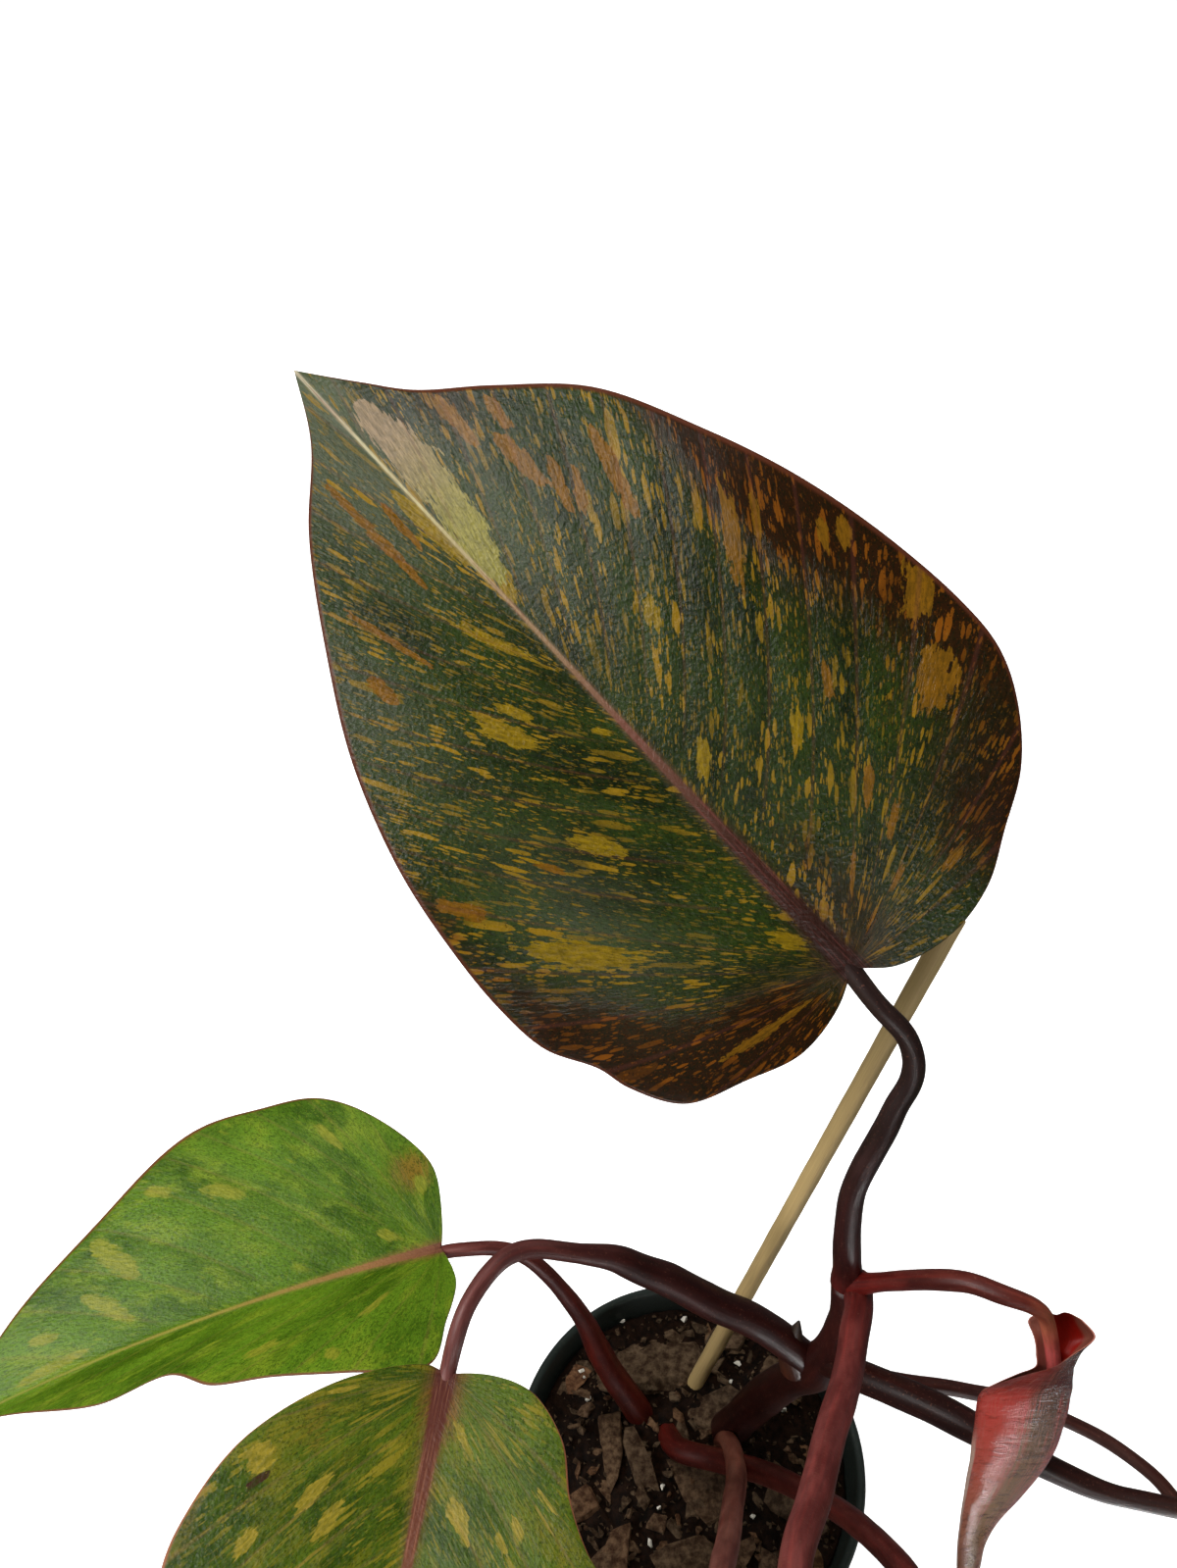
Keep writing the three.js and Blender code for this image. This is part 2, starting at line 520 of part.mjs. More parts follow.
function plant() {
  const group = new THREE.Group();
  const stem = stalk(STEM.route, STEM.radii, { steps: 16, sides: 10 });
  const stemRoom = stalk(STEM.route, STEM.radii, { steps: 16, sides: 10, extra: GAP });
  const stakeRadii = [STAKE_RADIUS, STAKE_RADIUS];
  const stake = stalk([STAKE_FOOT, STAKE_TOP], stakeRadii, { steps: 4, sides: 10 });
  const stakeRoom = stalk([STAKE_FOOT, STAKE_TOP], stakeRadii, { steps: 4, sides: 10, extra: GAP });
  group.add(mesh('pot', pot(), POT_PLASTIC));
  group.add(mesh('stem', stem, MAROON));
  group.add(mesh('stake', stake, BAMBOO));
  group.add(mesh('stem_scale', cut(stalk(SCALE.route, SCALE.radii, { steps: 6 }), [stemRoom]), SHEATH));

  const taken = [stemRoom, stalk(SCALE.route, SCALE.radii, { steps: 6, extra: GAP })];
  for (const [key, { route, radii }] of Object.entries(STALKS)) {
    const near = key === 'b' ? [...taken, stakeRoom] : [...taken];
    group.add(mesh(`petiole_${key}`, cut(stalk(route, radii), near), MAROON));
    taken.push(stalk(route, radii, { extra: GAP }));
  }
  group.add(mesh('soil', soil([...taken, stakeRoom]), MIX));

  for (const [key, leaf] of Object.entries(BLADES)) {
    const finish = key === 'a' ? DARK_LEAF : GREEN_LEAF;
    group.add(mesh(`blade_${key}`, blade(leaf, taken), finish));
  }
  group.add(mesh('blade_d', cut(rolledLeaf(ROLLED_LEAF), taken), RED_LEAF));
  return group;
}

export default plant();
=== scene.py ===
import math

import bmesh
import bpy
import numpy as np
from mathutils import Euler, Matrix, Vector, noise


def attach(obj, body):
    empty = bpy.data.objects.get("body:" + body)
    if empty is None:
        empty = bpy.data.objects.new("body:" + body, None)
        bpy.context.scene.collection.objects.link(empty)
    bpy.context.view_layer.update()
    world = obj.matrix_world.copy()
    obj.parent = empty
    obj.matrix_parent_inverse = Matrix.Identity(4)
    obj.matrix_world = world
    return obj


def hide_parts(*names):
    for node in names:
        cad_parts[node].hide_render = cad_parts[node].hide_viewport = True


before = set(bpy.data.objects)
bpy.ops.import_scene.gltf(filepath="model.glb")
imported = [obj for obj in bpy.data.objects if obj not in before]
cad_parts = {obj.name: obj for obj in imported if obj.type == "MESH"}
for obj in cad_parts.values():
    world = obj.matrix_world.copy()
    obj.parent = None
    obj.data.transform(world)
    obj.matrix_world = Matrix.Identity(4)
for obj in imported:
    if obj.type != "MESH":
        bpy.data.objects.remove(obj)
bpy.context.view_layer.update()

MM = 0.001
ROOT = "root"

# Camera and lights

PHOTO_HEIGHT = 1599
FOCAL_PIXELS = 1200
SENSOR = 36

camera_data = bpy.data.cameras.new("camera")
camera_data.lens = SENSOR * FOCAL_PIXELS / PHOTO_HEIGHT
camera_data.sensor_width = SENSOR
camera_data.clip_start = 0.01
camera_data.clip_end = 40
camera_data.dof.use_dof = False
camera = bpy.data.objects.new("camera", camera_data)
camera.location = (-0.0312, -0.1462, 0.4877)
camera.rotation_euler = (math.radians(50), 0, 0)
bpy.context.scene.collection.objects.link(camera)
bpy.context.scene.camera = camera
bpy.context.scene.view_settings.view_transform = "Standard"


def area_light(name, place, aim, size, watts, colour=(1, 1, 1), mirrored=True):
    """A lamp that the camera doesn't see; mirrored says whether shiny surfaces show it."""
    data = bpy.data.lights.new(name, "AREA")
    data.shape = "RECTANGLE"
    data.size, data.size_y = size
    data.energy = watts
    data.color = colour
    lamp = bpy.data.objects.new(name, data)
    lamp.visible_glossy = mirrored
    lamp.visible_camera = False
    lamp.location = place
    lamp.rotation_euler = (Vector(aim) - Vector(place)).to_track_quat("-Z", "Y").to_euler()
    bpy.context.scene.collection.objects.link(lamp)


area_light("window", (-1.0, -0.5, 1.05), (-0.04, 0.05, 0.3), (0.8, 0.9), 17, (1, 0.99, 0.97))
area_light("above", (-0.3, 0.5, 1.9), (0, 0, 0.2), (1.2, 1.0), 22, (1, 0.99, 0.96), False)
area_light("back", (0.9, 1.3, 1.3), (0, 0, 0.2), (1.0, 1.0), 8, (0.97, 0.99, 1), False)
area_light("front", (0.08, -0.95, 0.10), (0.06, -0.04, 0.2), (0.35, 0.25), 3.5)
# A small one low in front, which the rolled leaf mirrors
area_light("card", (0.122, -0.150, 0.012), (0.071, -0.03, 0.19), (0.045, 0.045), 0.17)

world = bpy.data.worlds.new("studio")
world.use_nodes = True
world.node_tree.nodes["Background"].inputs["Color"].default_value = (1, 1, 1, 1)
world.node_tree.nodes["Background"].inputs["Strength"].default_value = 0.09
bpy.context.scene.world = world


# Materials

class Value:
    """What a shader node gives, with the sums that the materials need as short calls."""

    def __init__(self, shader, socket):
        self.shader, self.socket = shader, socket

    def __add__(self, other):
        return self.shader.math("ADD", self, other)

    def __sub__(self, other):
        return self.shader.math("SUBTRACT", self, other)

    def __mul__(self, other):
        return self.shader.math("MULTIPLY", self, other)

    def scaled(self, factor, offset):
        return self.shader.math("MULTIPLY_ADD", self, factor, offset)

    def distance(self, other):
        return self.shader.math("ABSOLUTE", self - other)

    def smooth(self, low, high):
        """0 below low, 1 above high, smooth between; falls instead where low is above high."""
        node = self.shader.nodes.new("ShaderNodeMapRange")
        node.interpolation_type = "SMOOTHSTEP"
        self.shader.put(self, node.inputs["Value"])
        limits = (low, high, 0.0, 1.0) if low < high else (high, low, 1.0, 0.0)
        for socket, limit in zip(("From Min", "From Max", "To Min", "To Max"), limits):
            node.inputs[socket].default_value = limit
        return Value(self.shader, node.outputs["Result"])

    def split(self):
        """The three parts of a vector."""
        node = self.shader.nodes.new("ShaderNodeSeparateXYZ")
        self.shader.put(self, node.inputs[0])
        return [Value(self.shader, output) for output in node.outputs]

    def stretched(self, factors, offset=(0, 0, 0)):
        """The vector times factors, plus offset."""
        node = self.shader.nodes.new("ShaderNodeVectorMath")
        node.operation = "MULTIPLY_ADD"
        for value, socket in zip((self, factors, offset), node.inputs):
            self.shader.put(value, socket)
        return Value(self.shader, node.outputs[0])


class Shader:
    """A material whose nodes are added by short calls that return their output."""

    def __init__(self, name, roughness=0.5, specular=0.5):
        self.material = bpy.data.materials.new(name)
        self.material.use_nodes = True
        self.nodes = self.material.node_tree.nodes
        self.surface = self.nodes["Principled BSDF"]
        self.surface.inputs["Roughness"].default_value = roughness
        self.surface.inputs["Specular IOR Level"].default_value = specular

    def put(self, value, socket):
        if isinstance(value, Value):
            self.material.node_tree.links.new(value.socket, socket)
        elif isinstance(value, tuple) and socket.type == "RGBA":
            socket.default_value = (*value, 1)
        else:
            socket.default_value = value

    def attribute(self, name, output="Fac"):
        node = self.nodes.new("ShaderNodeAttribute")
        node.attribute_name = name
        return Value(self, node.outputs[output])

    def position(self):
        return Value(self, self.nodes.new("ShaderNodeTexCoord").outputs["Object"])

    def noise(self, vector, scale=1.0, detail=3.0, rough=0.55, output="Fac", distortion=0.0):
        node = self.nodes.new("ShaderNodeTexNoise")
        self.put(vector, node.inputs["Vector"])
        node.inputs["Scale"].default_value = scale
        node.inputs["Detail"].default_value = detail
        node.inputs["Roughness"].default_value = rough
        node.inputs["Distortion"].default_value = distortion
        return Value(self, node.outputs[output])

    def cells(self, vector, scale=1.0):
        """The distance to the nearest of scattered points."""
        node = self.nodes.new("ShaderNodeTexVoronoi")
        self.put(vector, node.inputs["Vector"])
        node.inputs["Scale"].default_value = scale
        return Value(self, node.outputs["Distance"])

    def math(self, operation, a, b=0.0, c=0.0, clamp=False):
        node = self.nodes.new("ShaderNodeMath")
        node.operation = operation
        node.use_clamp = clamp
        for value, socket in zip((a, b, c), node.inputs):
            self.put(value, socket)
        return Value(self, node.outputs[0])

    def mix(self, share, a, b, blend="MIX"):
        node = self.nodes.new("ShaderNodeMix")
        node.data_type = "RGBA"
        node.blend_type = blend
        self.put(share, node.inputs["Factor"])
        self.put(a, node.inputs[6])
        self.put(b, node.inputs[7])
        return Value(self, node.outputs[2])

    def ramp(self, value, stops):
        """The colour between stops (place, (red, green, blue) in sRGB) at value."""
        node = self.nodes.new("ShaderNodeValToRGB")
        band = node.color_ramp
        while len(band.elements) < len(stops):
            band.elements.new(0.5)
        for element, (place, colour) in zip(band.elements, stops):
            element.position = place
            element.color = (*srgb(*colour), 1)
        self.put(value, node.inputs[0])
        return Value(self, node.outputs[0])

    def colour(self, value):
        self.put(value, self.surface.inputs["Base Color"])

    def rough(self, value):
        self.put(value, self.surface.inputs["Roughness"])

    def bump(self, height, distance, strength=1.0):
        node = self.nodes.new("ShaderNodeBump")
        node.inputs["Strength"].default_value = strength
        node.inputs["Distance"].default_value = distance
        self.put(height, node.inputs["Height"])
        self.put(Value(self, node.outputs[0]), self.surface.inputs["Normal"])


def srgb(red, green, blue):
    """A colour given as 0 to 255 in sRGB, as the linear values that the shader takes."""
    def linear(v):
        v /= 255
        return v / 12.92 if v <= 0.04045 else ((v + 0.055) / 1.055) ** 2.4
    return linear(red), linear(green), linear(blue)


def dim(colour, share):
    return tuple(share * v for v in colour)


# Curves and meshes

def catmull(points, steps):
    """Points at even steps along the centripetal Catmull-Rom curve through the given ones."""
    p = np.array(points, float)
    p = np.vstack([2 * p[0] - p[1], p, 2 * p[-1] - p[-2]])
    parts = []
    t = np.linspace(0, 1, 40, endpoint=False)[:, None]
    for i in range(1, len(p) - 2):
        x0, x1, x2, x3 = p[i - 1:i + 3]
        d0, d1, d2 = (max(np.linalg.norm(b - a), 1e-6) ** 0.5
                      for a, b in ((x0, x1), (x1, x2), (x2, x3)))
        m1 = ((x1 - x0) / d0 - (x2 - x0) / (d0 + d1) + (x2 - x1) / d1) * d1
        m2 = ((x2 - x1) / d1 - (x3 - x1) / (d1 + d2) + (x3 - x2) / d2) * d1
        parts.append(x1 + m1 * t + (3 * (x2 - x1) - 2 * m1 - m2) * t ** 2
                     + (2 * (x1 - x2) + m1 + m2) * t ** 3)
    fine = np.vstack([*parts, p[-2][None]])
    far = np.r_[0, np.cumsum(np.linalg.norm(np.diff(fine, axis=0), axis=1))]
    want = np.linspace(0, far[-1], steps + 1)
    return np.stack([np.interp(want, far, fine[:, k]) for k in range(p.shape[1])], 1)


def unit(v):
    return v / np.maximum(np.linalg.norm(v, axis=-1, keepdims=True), 1e-12)


def route_frames(centre, first=(0, 0, 1)):
    """Tangents, and two directions square to them that turn as little as they can."""
    tangent = unit(np.gradient(centre, axis=0))
    side = np.zeros_like(centre)
    guess = np.array(first, float)
    for i, t in enumerate(tangent):
        guess = unit(guess - guess @ t * t)
        side[i] = guess
    return tangent, side, np.cross(tangent, side)


def make_mesh(name, points_mm, faces, materials, attributes=None, face_material=None):
    """A mesh object from points in millimetres; attributes are {name: values per point}."""
    mesh = bpy.data.meshes.new(name)
    mesh.from_pydata((np.asarray(points_mm) * MM).tolist(), [], [list(f) for f in faces])
    mesh.validate(clean_customdata=False)
    kinds = {1: ("FLOAT", "value"), 3: ("FLOAT_VECTOR", "vector"), 4: ("FLOAT_COLOR", "color")}
    for attribute, values in (attributes or {}).items():
        values = np.asarray(values, np.float32)
        kind, key = kinds[values.size // len(values)]
        layer = mesh.attributes.new(attribute, kind, "POINT")
        layer.data.foreach_set(key, values.ravel())
    for material in materials:
        mesh.materials.append(material)
    if face_material is not None:
        mesh.polygons.foreach_set("material_index", np.asarray(face_material, np.int32))
    mesh.polygons.foreach_set("use_smooth", np.ones(len(mesh.polygons), bool))
    mesh.update()
    piece = bpy.data.objects.new(name, mesh)
    bpy.context.scene.collection.objects.link(piece)
    return piece


def merge_close(piece, distance_mm=0.001):
    """Joins the points that lie on one another, and turns every face outward."""
    work = bmesh.new()
    work.from_mesh(piece.data)
    bmesh.ops.remove_doubles(work, verts=work.verts, dist=distance_mm * MM)
    bmesh.ops.dissolve_degenerate(work, edges=work.edges, dist=distance_mm * MM * 0.1)
    bmesh.ops.recalc_face_normals(work, faces=work.faces)
    work.to_mesh(piece.data)
    work.free()
    piece.data.update()


def dress(piece, slot, *nodes):
    """The piece rides on the plant's one body and stands for nodes; slot is not used."""
    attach(piece, ROOT)
    if nodes:
        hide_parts(*nodes)
    return piece


def ring_faces(rings, sides):
    """Quads between rings of points that follow one another, numbered ring by ring."""
    faces = []
    for r in range(rings - 1):
        for s in range(sides):
            a, b = r * sides + s, r * sides + (s + 1) % sides
            faces.append((a, b, b + sides, a + sides))
    return faces


def closed_rings(rings, first, last):
    """Points and faces of a closed surface through rings, with a middle point at each end."""
    count, sides = rings.shape[:2]
    points = np.vstack([rings.reshape(-1, 3), first, last])
    faces = ring_faces(count, sides)
    row = (count - 1) * sides
    for s in range(sides):
        after = (s + 1) % sides
        faces += [(count * sides, after, s), (count * sides + 1, row + s, row + after)]
    return points, faces


def circle(sides):
    return np.linspace(0, 2 * np.pi, sides, endpoint=False)


# Leaf blades

# Outlines of the halves of each blade, in lengths of the leaf: along the midrib, to the side
HEART = [(0, .01), (-.03, .05), (-.05, .12), (-.03, .2), (.03, .28), (.11, .34), (.22, .37),
         (.35, .36), (.5, .31), (.65, .23), (.8, .135), (.91, .05), (1, 0)]
A_RIGHT = [(0, .01), (-.03, .035), (-.046, .11), (-.03, .18), (.01, .24), (.05, .295), (.11, .34),
           (.17, .365), (.24, .37), (.34, .36), (.45, .335), (.57, .295), (.7, .24), (.79, .16),
           (.86, .09), (.92, .05), (1, 0)]
A_LEFT = [(0, .01), (-.02, .035), (-.033, .11), (-.01, .18), (.02, .25), (.08, .285), (.12, .295),
          (.18, .325), (.25, .33), (.35, .32), (.46, .3), (.58, .26), (.7, .195), (.82, .12),
          (.91, .045), (1, 0)]
B_RIGHT = [(0, .01), (-.02, .07), (-.025, .165), (.06, .285), (.18, .37), (.3, .39), (.43, .38),
           (.67, .25), (.87, .125), (1, 0)]
B_LEFT = [(0, .01), (-.02, .11), (.01, .215), (.05, .305), (.2, .265), (.33, .225), (.44, .195),
          (.53, .125), (.66, .13), (.88, .035), (1, 0)]
C_RIGHT = [(0, .01), (-.01, .03), (.035, .17), (.145, .305), (.26, .365), (.34, .38), (.5, .34),
           (.65, .25), (.8, .14), (.91, .05), (1, 0)]
C_LEFT = [(0, .01), (-.01, .08), (.007, .157), (.072, .22), (.153, .246), (.22, .285), (.28, .34),
          (.38, .36), (.5, .32), (.65, .23), (.8, .13), (.91, .05), (1, 0)]

BLADES = {
    "a": dict(base=(25.1, 21.5, 295.6), tip=(-96.7, 113.7, 389.8), up=(-.09, -.768, .635),
              right=A_RIGHT, left=A_LEFT, fold=.22, curl=.45, rib=2, around=240, rows=56),
    "b": dict(base=(-75, 33, 157), tip=(-211, -10, 137), up=(0, .12, .99),
              right=B_RIGHT, left=B_LEFT, fold=.5, curl=.32, around=200, rows=44),
    "c": dict(base=(-66, -18.5, 192), tip=(-87, -148, 145), up=(0, -.34, .94),
              right=C_RIGHT, left=C_LEFT, fold=.2, arch=.04, around=180, rows=44),
    "e": dict(base=(2, -92, 257), tip=(18, -232, 214), up=(0, -.2, 1), fold=.3, arch=.06),
    "f": dict(base=(126, -51, 195), tip=(252, -50, 158), up=(.2, 0, 1), fold=.3, arch=.06),
    "g": dict(base=(128, -70, 154), tip=(222, -162, 114), up=(.2, -.1, 1), fold=.32),
    "h": dict(base=(-14, -97, 233.4), tip=(-104, -195, 181), up=(-.1, -.3, 1), fold=.3, arch=.06),
    "i": dict(base=(46, -100, 225), tip=(122, -206, 178), up=(.1, -.2, 1), fold=.3, arch=.06),
}
# Half the usual width of a blade, and the place along it up to which all veins start at the
# base, both in lengths of the leaf
HALF_WIDTH = 0.37
FAN_END = 0.42
# Half the thickness of a blade, and the way from one lateral vein to the next, in millimetres
BLADE_HALF = 0.25
VEIN_STEP = 8.5


class Blade:
    """The surface of one leaf: its frame, its rise and the net of points along its veins."""

    def __init__(self, base, tip, up, right=HEART, left=HEART, arch=0.05, fold=0.25, curl=0.4,
                 wave=0.008, rib=1.6, around=110, rows=28):
        self.origin = np.array(base, float)
        span = np.array(tip, float) - self.origin
        self.length = np.linalg.norm(span)
        self.along = span / self.length
        self.raised = unit(np.array(up, float) - np.dot(up, self.along) * self.along)
        self.right = np.cross(self.along, self.raised)
        self.arch, self.fold, self.curl, self.wave, self.rib = arch, fold, curl, wave, rib
        self.rims = [catmull(right, around), catmull(left, around)]
        self.around, self.rows = around, rows

    def rise(self, s, c):
        """Height over the plane through base and tip, in lengths of the leaf."""
        side = np.abs(c) / HALF_WIDTH
        crease = np.hypot(side, 0.05) - 0.05
        spine = 4 * self.arch * s * (1 - s) * np.where(s < 0, 0.6, 1)
        ripple = self.wave * np.sin(15 * s + np.where(c > 0, 0, 2)) * side * side
        return spine + self.fold * HALF_WIDTH * crease * (1 - self.curl * side) + ripple

    def at(self, s, c):
        """Points of the surface, in millimetres."""
        return (self.origin + self.length * (
            np.multiply.outer(s, self.along) + np.multiply.outer(c, self.right)
            + np.multiply.outer(self.rise(s, c), self.raised)))

    def normal(self, s, c):
        """Directions square to the surface, on its upper side."""
        step = 0.004
        n = np.cross(self.at(s, c + step) - self.at(s, c - step),
                     self.at(s + step, c) - self.at(s - step, c))
        n = unit(n)
        return n * np.where(n @ self.raised < 0, -1, 1)[..., None]

    def net(self):
        """Leaf coordinates, vein coordinates and reach of the points of both halves."""
        mean = (self.rims[0][:, 0] + self.rims[1][:, 0]) / 2
        early = (mean - FAN_END) / (1 - FAN_END)
        roots = np.clip(0.5 * (early + np.hypot(early, 0.05)), 0, 1)
        # Near the tip the veins sweep forward
        roots = roots - 0.18 * np.sin(np.pi * roots ** 2)
        roots[0] = 0
        roots[-1] = 1
        reach = np.linspace(0, 1, self.rows + 1)
        halves, widths = [], []
        for rim, sign in zip(self.rims, (1, -1)):
            chord = rim[:, 0] - roots
            s = roots[:, None] + chord[:, None] * reach
            bow = 0.10 * np.clip(rim[:, 1], 0, 1) * np.clip(roots * 6 + 0.3, 0, 1)
            s = s - bow[:, None] * 4 * (reach * (1 - reach))[None]
            c = sign * np.maximum(rim[:, 1], 0)[:, None] * reach
            halves.append((s, c))
            mid = np.stack([s, c], 2)[:, int(self.rows * 0.6)] * self.length
            way = unit(np.stack([chord, sign * rim[:, 1]], 1))
            gap = np.diff(mid, axis=0)
            widths.append(np.abs(gap[:, 0] * way[1:, 1] - gap[:, 1] * way[1:, 0]))
        across = np.r_[0, np.cumsum((widths[0] + widths[1]) / 2)]
        return halves, across, reach


def stroke_field(s, c, u, v, length, strokes):
    """How near a point is to the middle of the nearest stroke: 1 on it, 0 at its border.

    The strokes are ovals that follow the veins, and near the tip the line between their ends.
    """
    best = np.zeros(s.shape)
    for s0, c0, s1, c1, width in strokes:
        if s0 + s1 > 1.2:
            way = np.array([s1 - s0, c1 - c0])
            share = np.clip(((s - s0) * way[0] + (c - c0) * way[1]) / (way @ way), 0, 1)
            far = np.hypot(s - s0 - share * way[0], c - c0 - share * way[1]) / width
            far = far / (0.35 + 0.65 * np.sin(np.pi * share) ** 0.6)
        else:
            near = np.argmin((s - (s0 + s1) / 2) ** 2 + (c - (c0 + c1) / 2) ** 2)
            long = length * (math.hypot(s1 - s0, c1 - c0) / 2 + 0.5 * width)
            far = (np.abs((u - u[near]) / (length * width)) ** 2.3
                   + np.abs((v - v[near]) / long) ** 2.3) ** (1 / 2.3)
            far = np.where(v * v[near] >= 0, far, 9)
        best = np.maximum(best, 1 - far)
    return np.clip(best, 0, 1)


def patch_field(s, c, patches):
    """The sum of soft round patches (along, side, radius along, radius across, amount)."""
    total = np.zeros(s.shape)
    for s0, c0, long, wide, amount in patches:
        total += amount * np.exp(-((s - s0) / long) ** 2 - ((c - c0) / wide) ** 2)
    return np.clip(total, 0, 1)


def leaf_piece(key, materials, slot, marks, pale=()):
    """The two faces and the rim of one blade as a closed mesh."""
    blade = Blade(**BLADES[key])
    halves, across, reach = blade.net()
    count = blade.around + 1
    rows = blade.rows + 1
    s = np.concatenate([h[0].ravel() for h in halves])
    c = np.concatenate([h[1].ravel() for h in halves])
    t = np.tile(np.tile(reach, count), 2)
    u = np.tile(np.repeat(across, rows), 2)
    vein_length = np.concatenate([
        np.repeat(np.hypot(h[0][:, -1] - h[0][:, 0], h[1][:, -1]), rows) for h in halves])
    side = np.repeat([1.0, -1.0], count * rows)
    v = side * t * vein_length * blade.length

    # Quilting between the lateral veins, and a low ridge along the midrib
    phase = u / VEIN_STEP
    nearest = np.abs(phase - np.round(phase)) * VEIN_STEP
    fade = np.clip(t * 4, 0, 1) * np.clip((1 - t) * 5, 0, 1) * np.clip(s * 4 - 0.2, 0.15, 1)
    relief = 0.16 * np.sin(np.pi * phase) ** 2 * fade - 0.1 * np.exp(-(nearest / 0.7) ** 2) * fade
    off_mid = np.abs(c) * blade.length
    slim = np.clip(1 - s, 0.05, 1)
    ridge = np.exp(-(off_mid / (1.7 * slim + 0.35)) ** 2)
    relief = relief + 0.35 * slim * ridge
    rib_depth = blade.rib * (0.45 + 1.15 * slim)
    rib_width = blade.rib * (0.35 + 0.75 * slim)
    under = rib_depth * np.exp(-(off_mid / rib_width) ** 2) * np.clip((s + 0.02) * 25, 0, 1)
    half = BLADE_HALF * (0.5 + 0.5 * np.clip((1 - t) * 14, 0, 1))
    place, normal = blade.at(s, c), blade.normal(s, c)
    top = place + normal * (half + relief)[:, None]
    quilting = np.maximum(relief - 0.35 * slim * ridge, -1)
    bottom = place - normal * (half + under - 0.6 * quilting)[:, None]

    per_half = count * rows
    faces = []
    kinds = []
    total = 2 * per_half
    for h, sign in ((0, 1), (1, -1)):
        for i in range(blade.around):
            for k in range(blade.rows):
                a = h * per_half + i * rows + k
                quad = (a, a + rows, a + rows + 1, a + 1)
                if sign < 0:
                    quad = quad[::-1]
                faces.append(quad)
                kinds.append(0)
                faces.append(tuple(q + total for q in quad[::-1]))
                kinds.append(1)
            a = h * per_half + i * rows + rows - 1
            wall = (a, a + rows, a + rows + total, a + total)
            faces.append(wall if sign < 0 else wall[::-1])
            kinds.append(2)
    points = np.vstack([top, bottom])
    fields = {"vein": (u, v, t), "leaf": (s, c, off_mid), "marks": marks(s, c, u, v, blade.length)}
    attributes = {name: np.tile(np.stack(field, 1), (2, 1)) for name, field in fields.items()}
    attributes["pale"] = np.tile(patch_field(s, c, pale), 2)
    piece = make_mesh("leaf_" + key, points, faces, materials, attributes, kinds)
    merge_close(piece, 0.02)
    return dress(piece, slot, "blade_" + key)


# Strokes of colour on the leaves: along, side, along, side, half width, in lengths of the leaf
A_TAN = [
    (.832, .103, .754, .098, .013), (.789, .144, .737, .139, .012), (.746, .122, .660, .124, .016),
    (.682, .149, .616, .125, .011), (.671, .205, .557, .175, .014), (.651, .162, .599, .134, .009),
    (.854, -.065, .672, -.061, .009), (.787, -.032, .712, -.034, .008),
    (.720, -.150, .596, -.118, .006), (.637, -.181, .592, -.176, .014),
    (.347, -.184, .320, -.167, .010), (.405, -.297, .315, -.266, .011),
    (.526, .269, .407, .202, .015), (.497, .294, .418, .241, .007), (.414, .317, .376, .301, .008),
    (.401, .333, .360, .318, .008), (.324, .351, .237, .335, .018), (.226, .286, .151, .290, .026),
    (.298, .211, .255, .200, .010), (.188, .167, .116, .148, .011), (.134, .155, .070, .148, .010),
    (.130, .073, .037, .071, .007), (.070, .116, .025, .113, .010), (.041, .170, -.000, .173, .011),
    (-.005, -.034, .038, -.201, .009),
]
A_YELLOW = [
    (.638, -.086, .490, -.004, .010), (.513, -.099, .466, -.068, .013),
    (.520, -.126, .433, -.090, .020), (.421, -.033, .391, -.016, .009),
    (.349, -.138, .274, -.095, .018), (.279, -.286, .179, -.148, .024),
    (.105, -.046, .052, -.021, .015), (.486, .117, .447, .104, .016),
    (.341, .053, .265, .023, .012), (.281, .156, .229, .137, .010),
    (.789, -.012, .663, -.006, .016), (.66, .022, .59, .006, .016),
]
A_CREAM = [(.90, .030, .70, .034, .036), (.78, .036, .62, .012, .032)]
# Brown parts of the large leaf, and pale patches of painted sheen, partly the leaf's own grey-green
# near the tip: centre, radii and amount
A_BROWN = [
    (.30, .38, .30, .09, .8), (.62, .29, .22, .05, .6), (.02, .25, .14, .12, .7),
    (.85, .11, .12, .06, .6), (-.01, -.16, .10, .15, .95), (.10, -.28, .14, .08, .95),
    (.10, .05, .16, .05, .45), (.42, .25, .20, .09, .35), (.45, -.31, .3, .03, .5),
]
A_PAINTED_SHEEN = [(.84, -.04, .14, .06, 1.2), (.62, .05, .13, .05, .35), (.26, -.20, .14, .06, .5),
          (.62, -.20, .12, .05, .6), (.96, 0, .05, .05, .9)]
B_YELLOW = [
    (.424, .252, .362, .185, .030), (.678, .215, .594, .122, .040), (.707, .121, .615, .049, .028),
    (.365, -.180, .339, -.109, .022), (.160, -.174, .122, -.063, .018), (.195, .338, .148, .204, .016),
    (.849, .019, .707, .028, .018), (.568, .258, .503, .277, .018), (.021, .149, -.011, .112, .020),
    (.124, .066, .066, .039, .018), (.823, .081, .763, .072, .018), (.236, -.217, .210, -.211, .018),
]
C_YELLOW = [
    (.193, .295, .146, .251, .018), (.221, .206, .183, .136, .020), (.260, .171, .224, .114, .022),
    (.304, .278, .270, .240, .020), (.185, -.035, .239, -.110, .022), (.064, -.029, .110, -.060, .010),
    (.196, -.148, .218, -.190, .012), (.134, -.188, .183, -.229, .012),
    (.213, -.124, .247, -.163, .010), (.061, .197, .038, .133, .010), (.049, -.073, .087, -.115, .010),
    (.45, .10, .34, .05, .016), (.50, .22, .42, .16, .016), (.55, -.12, .42, -.06, .014),
]
C_SCAR = [(.226, .275, .179, .253, .009)]
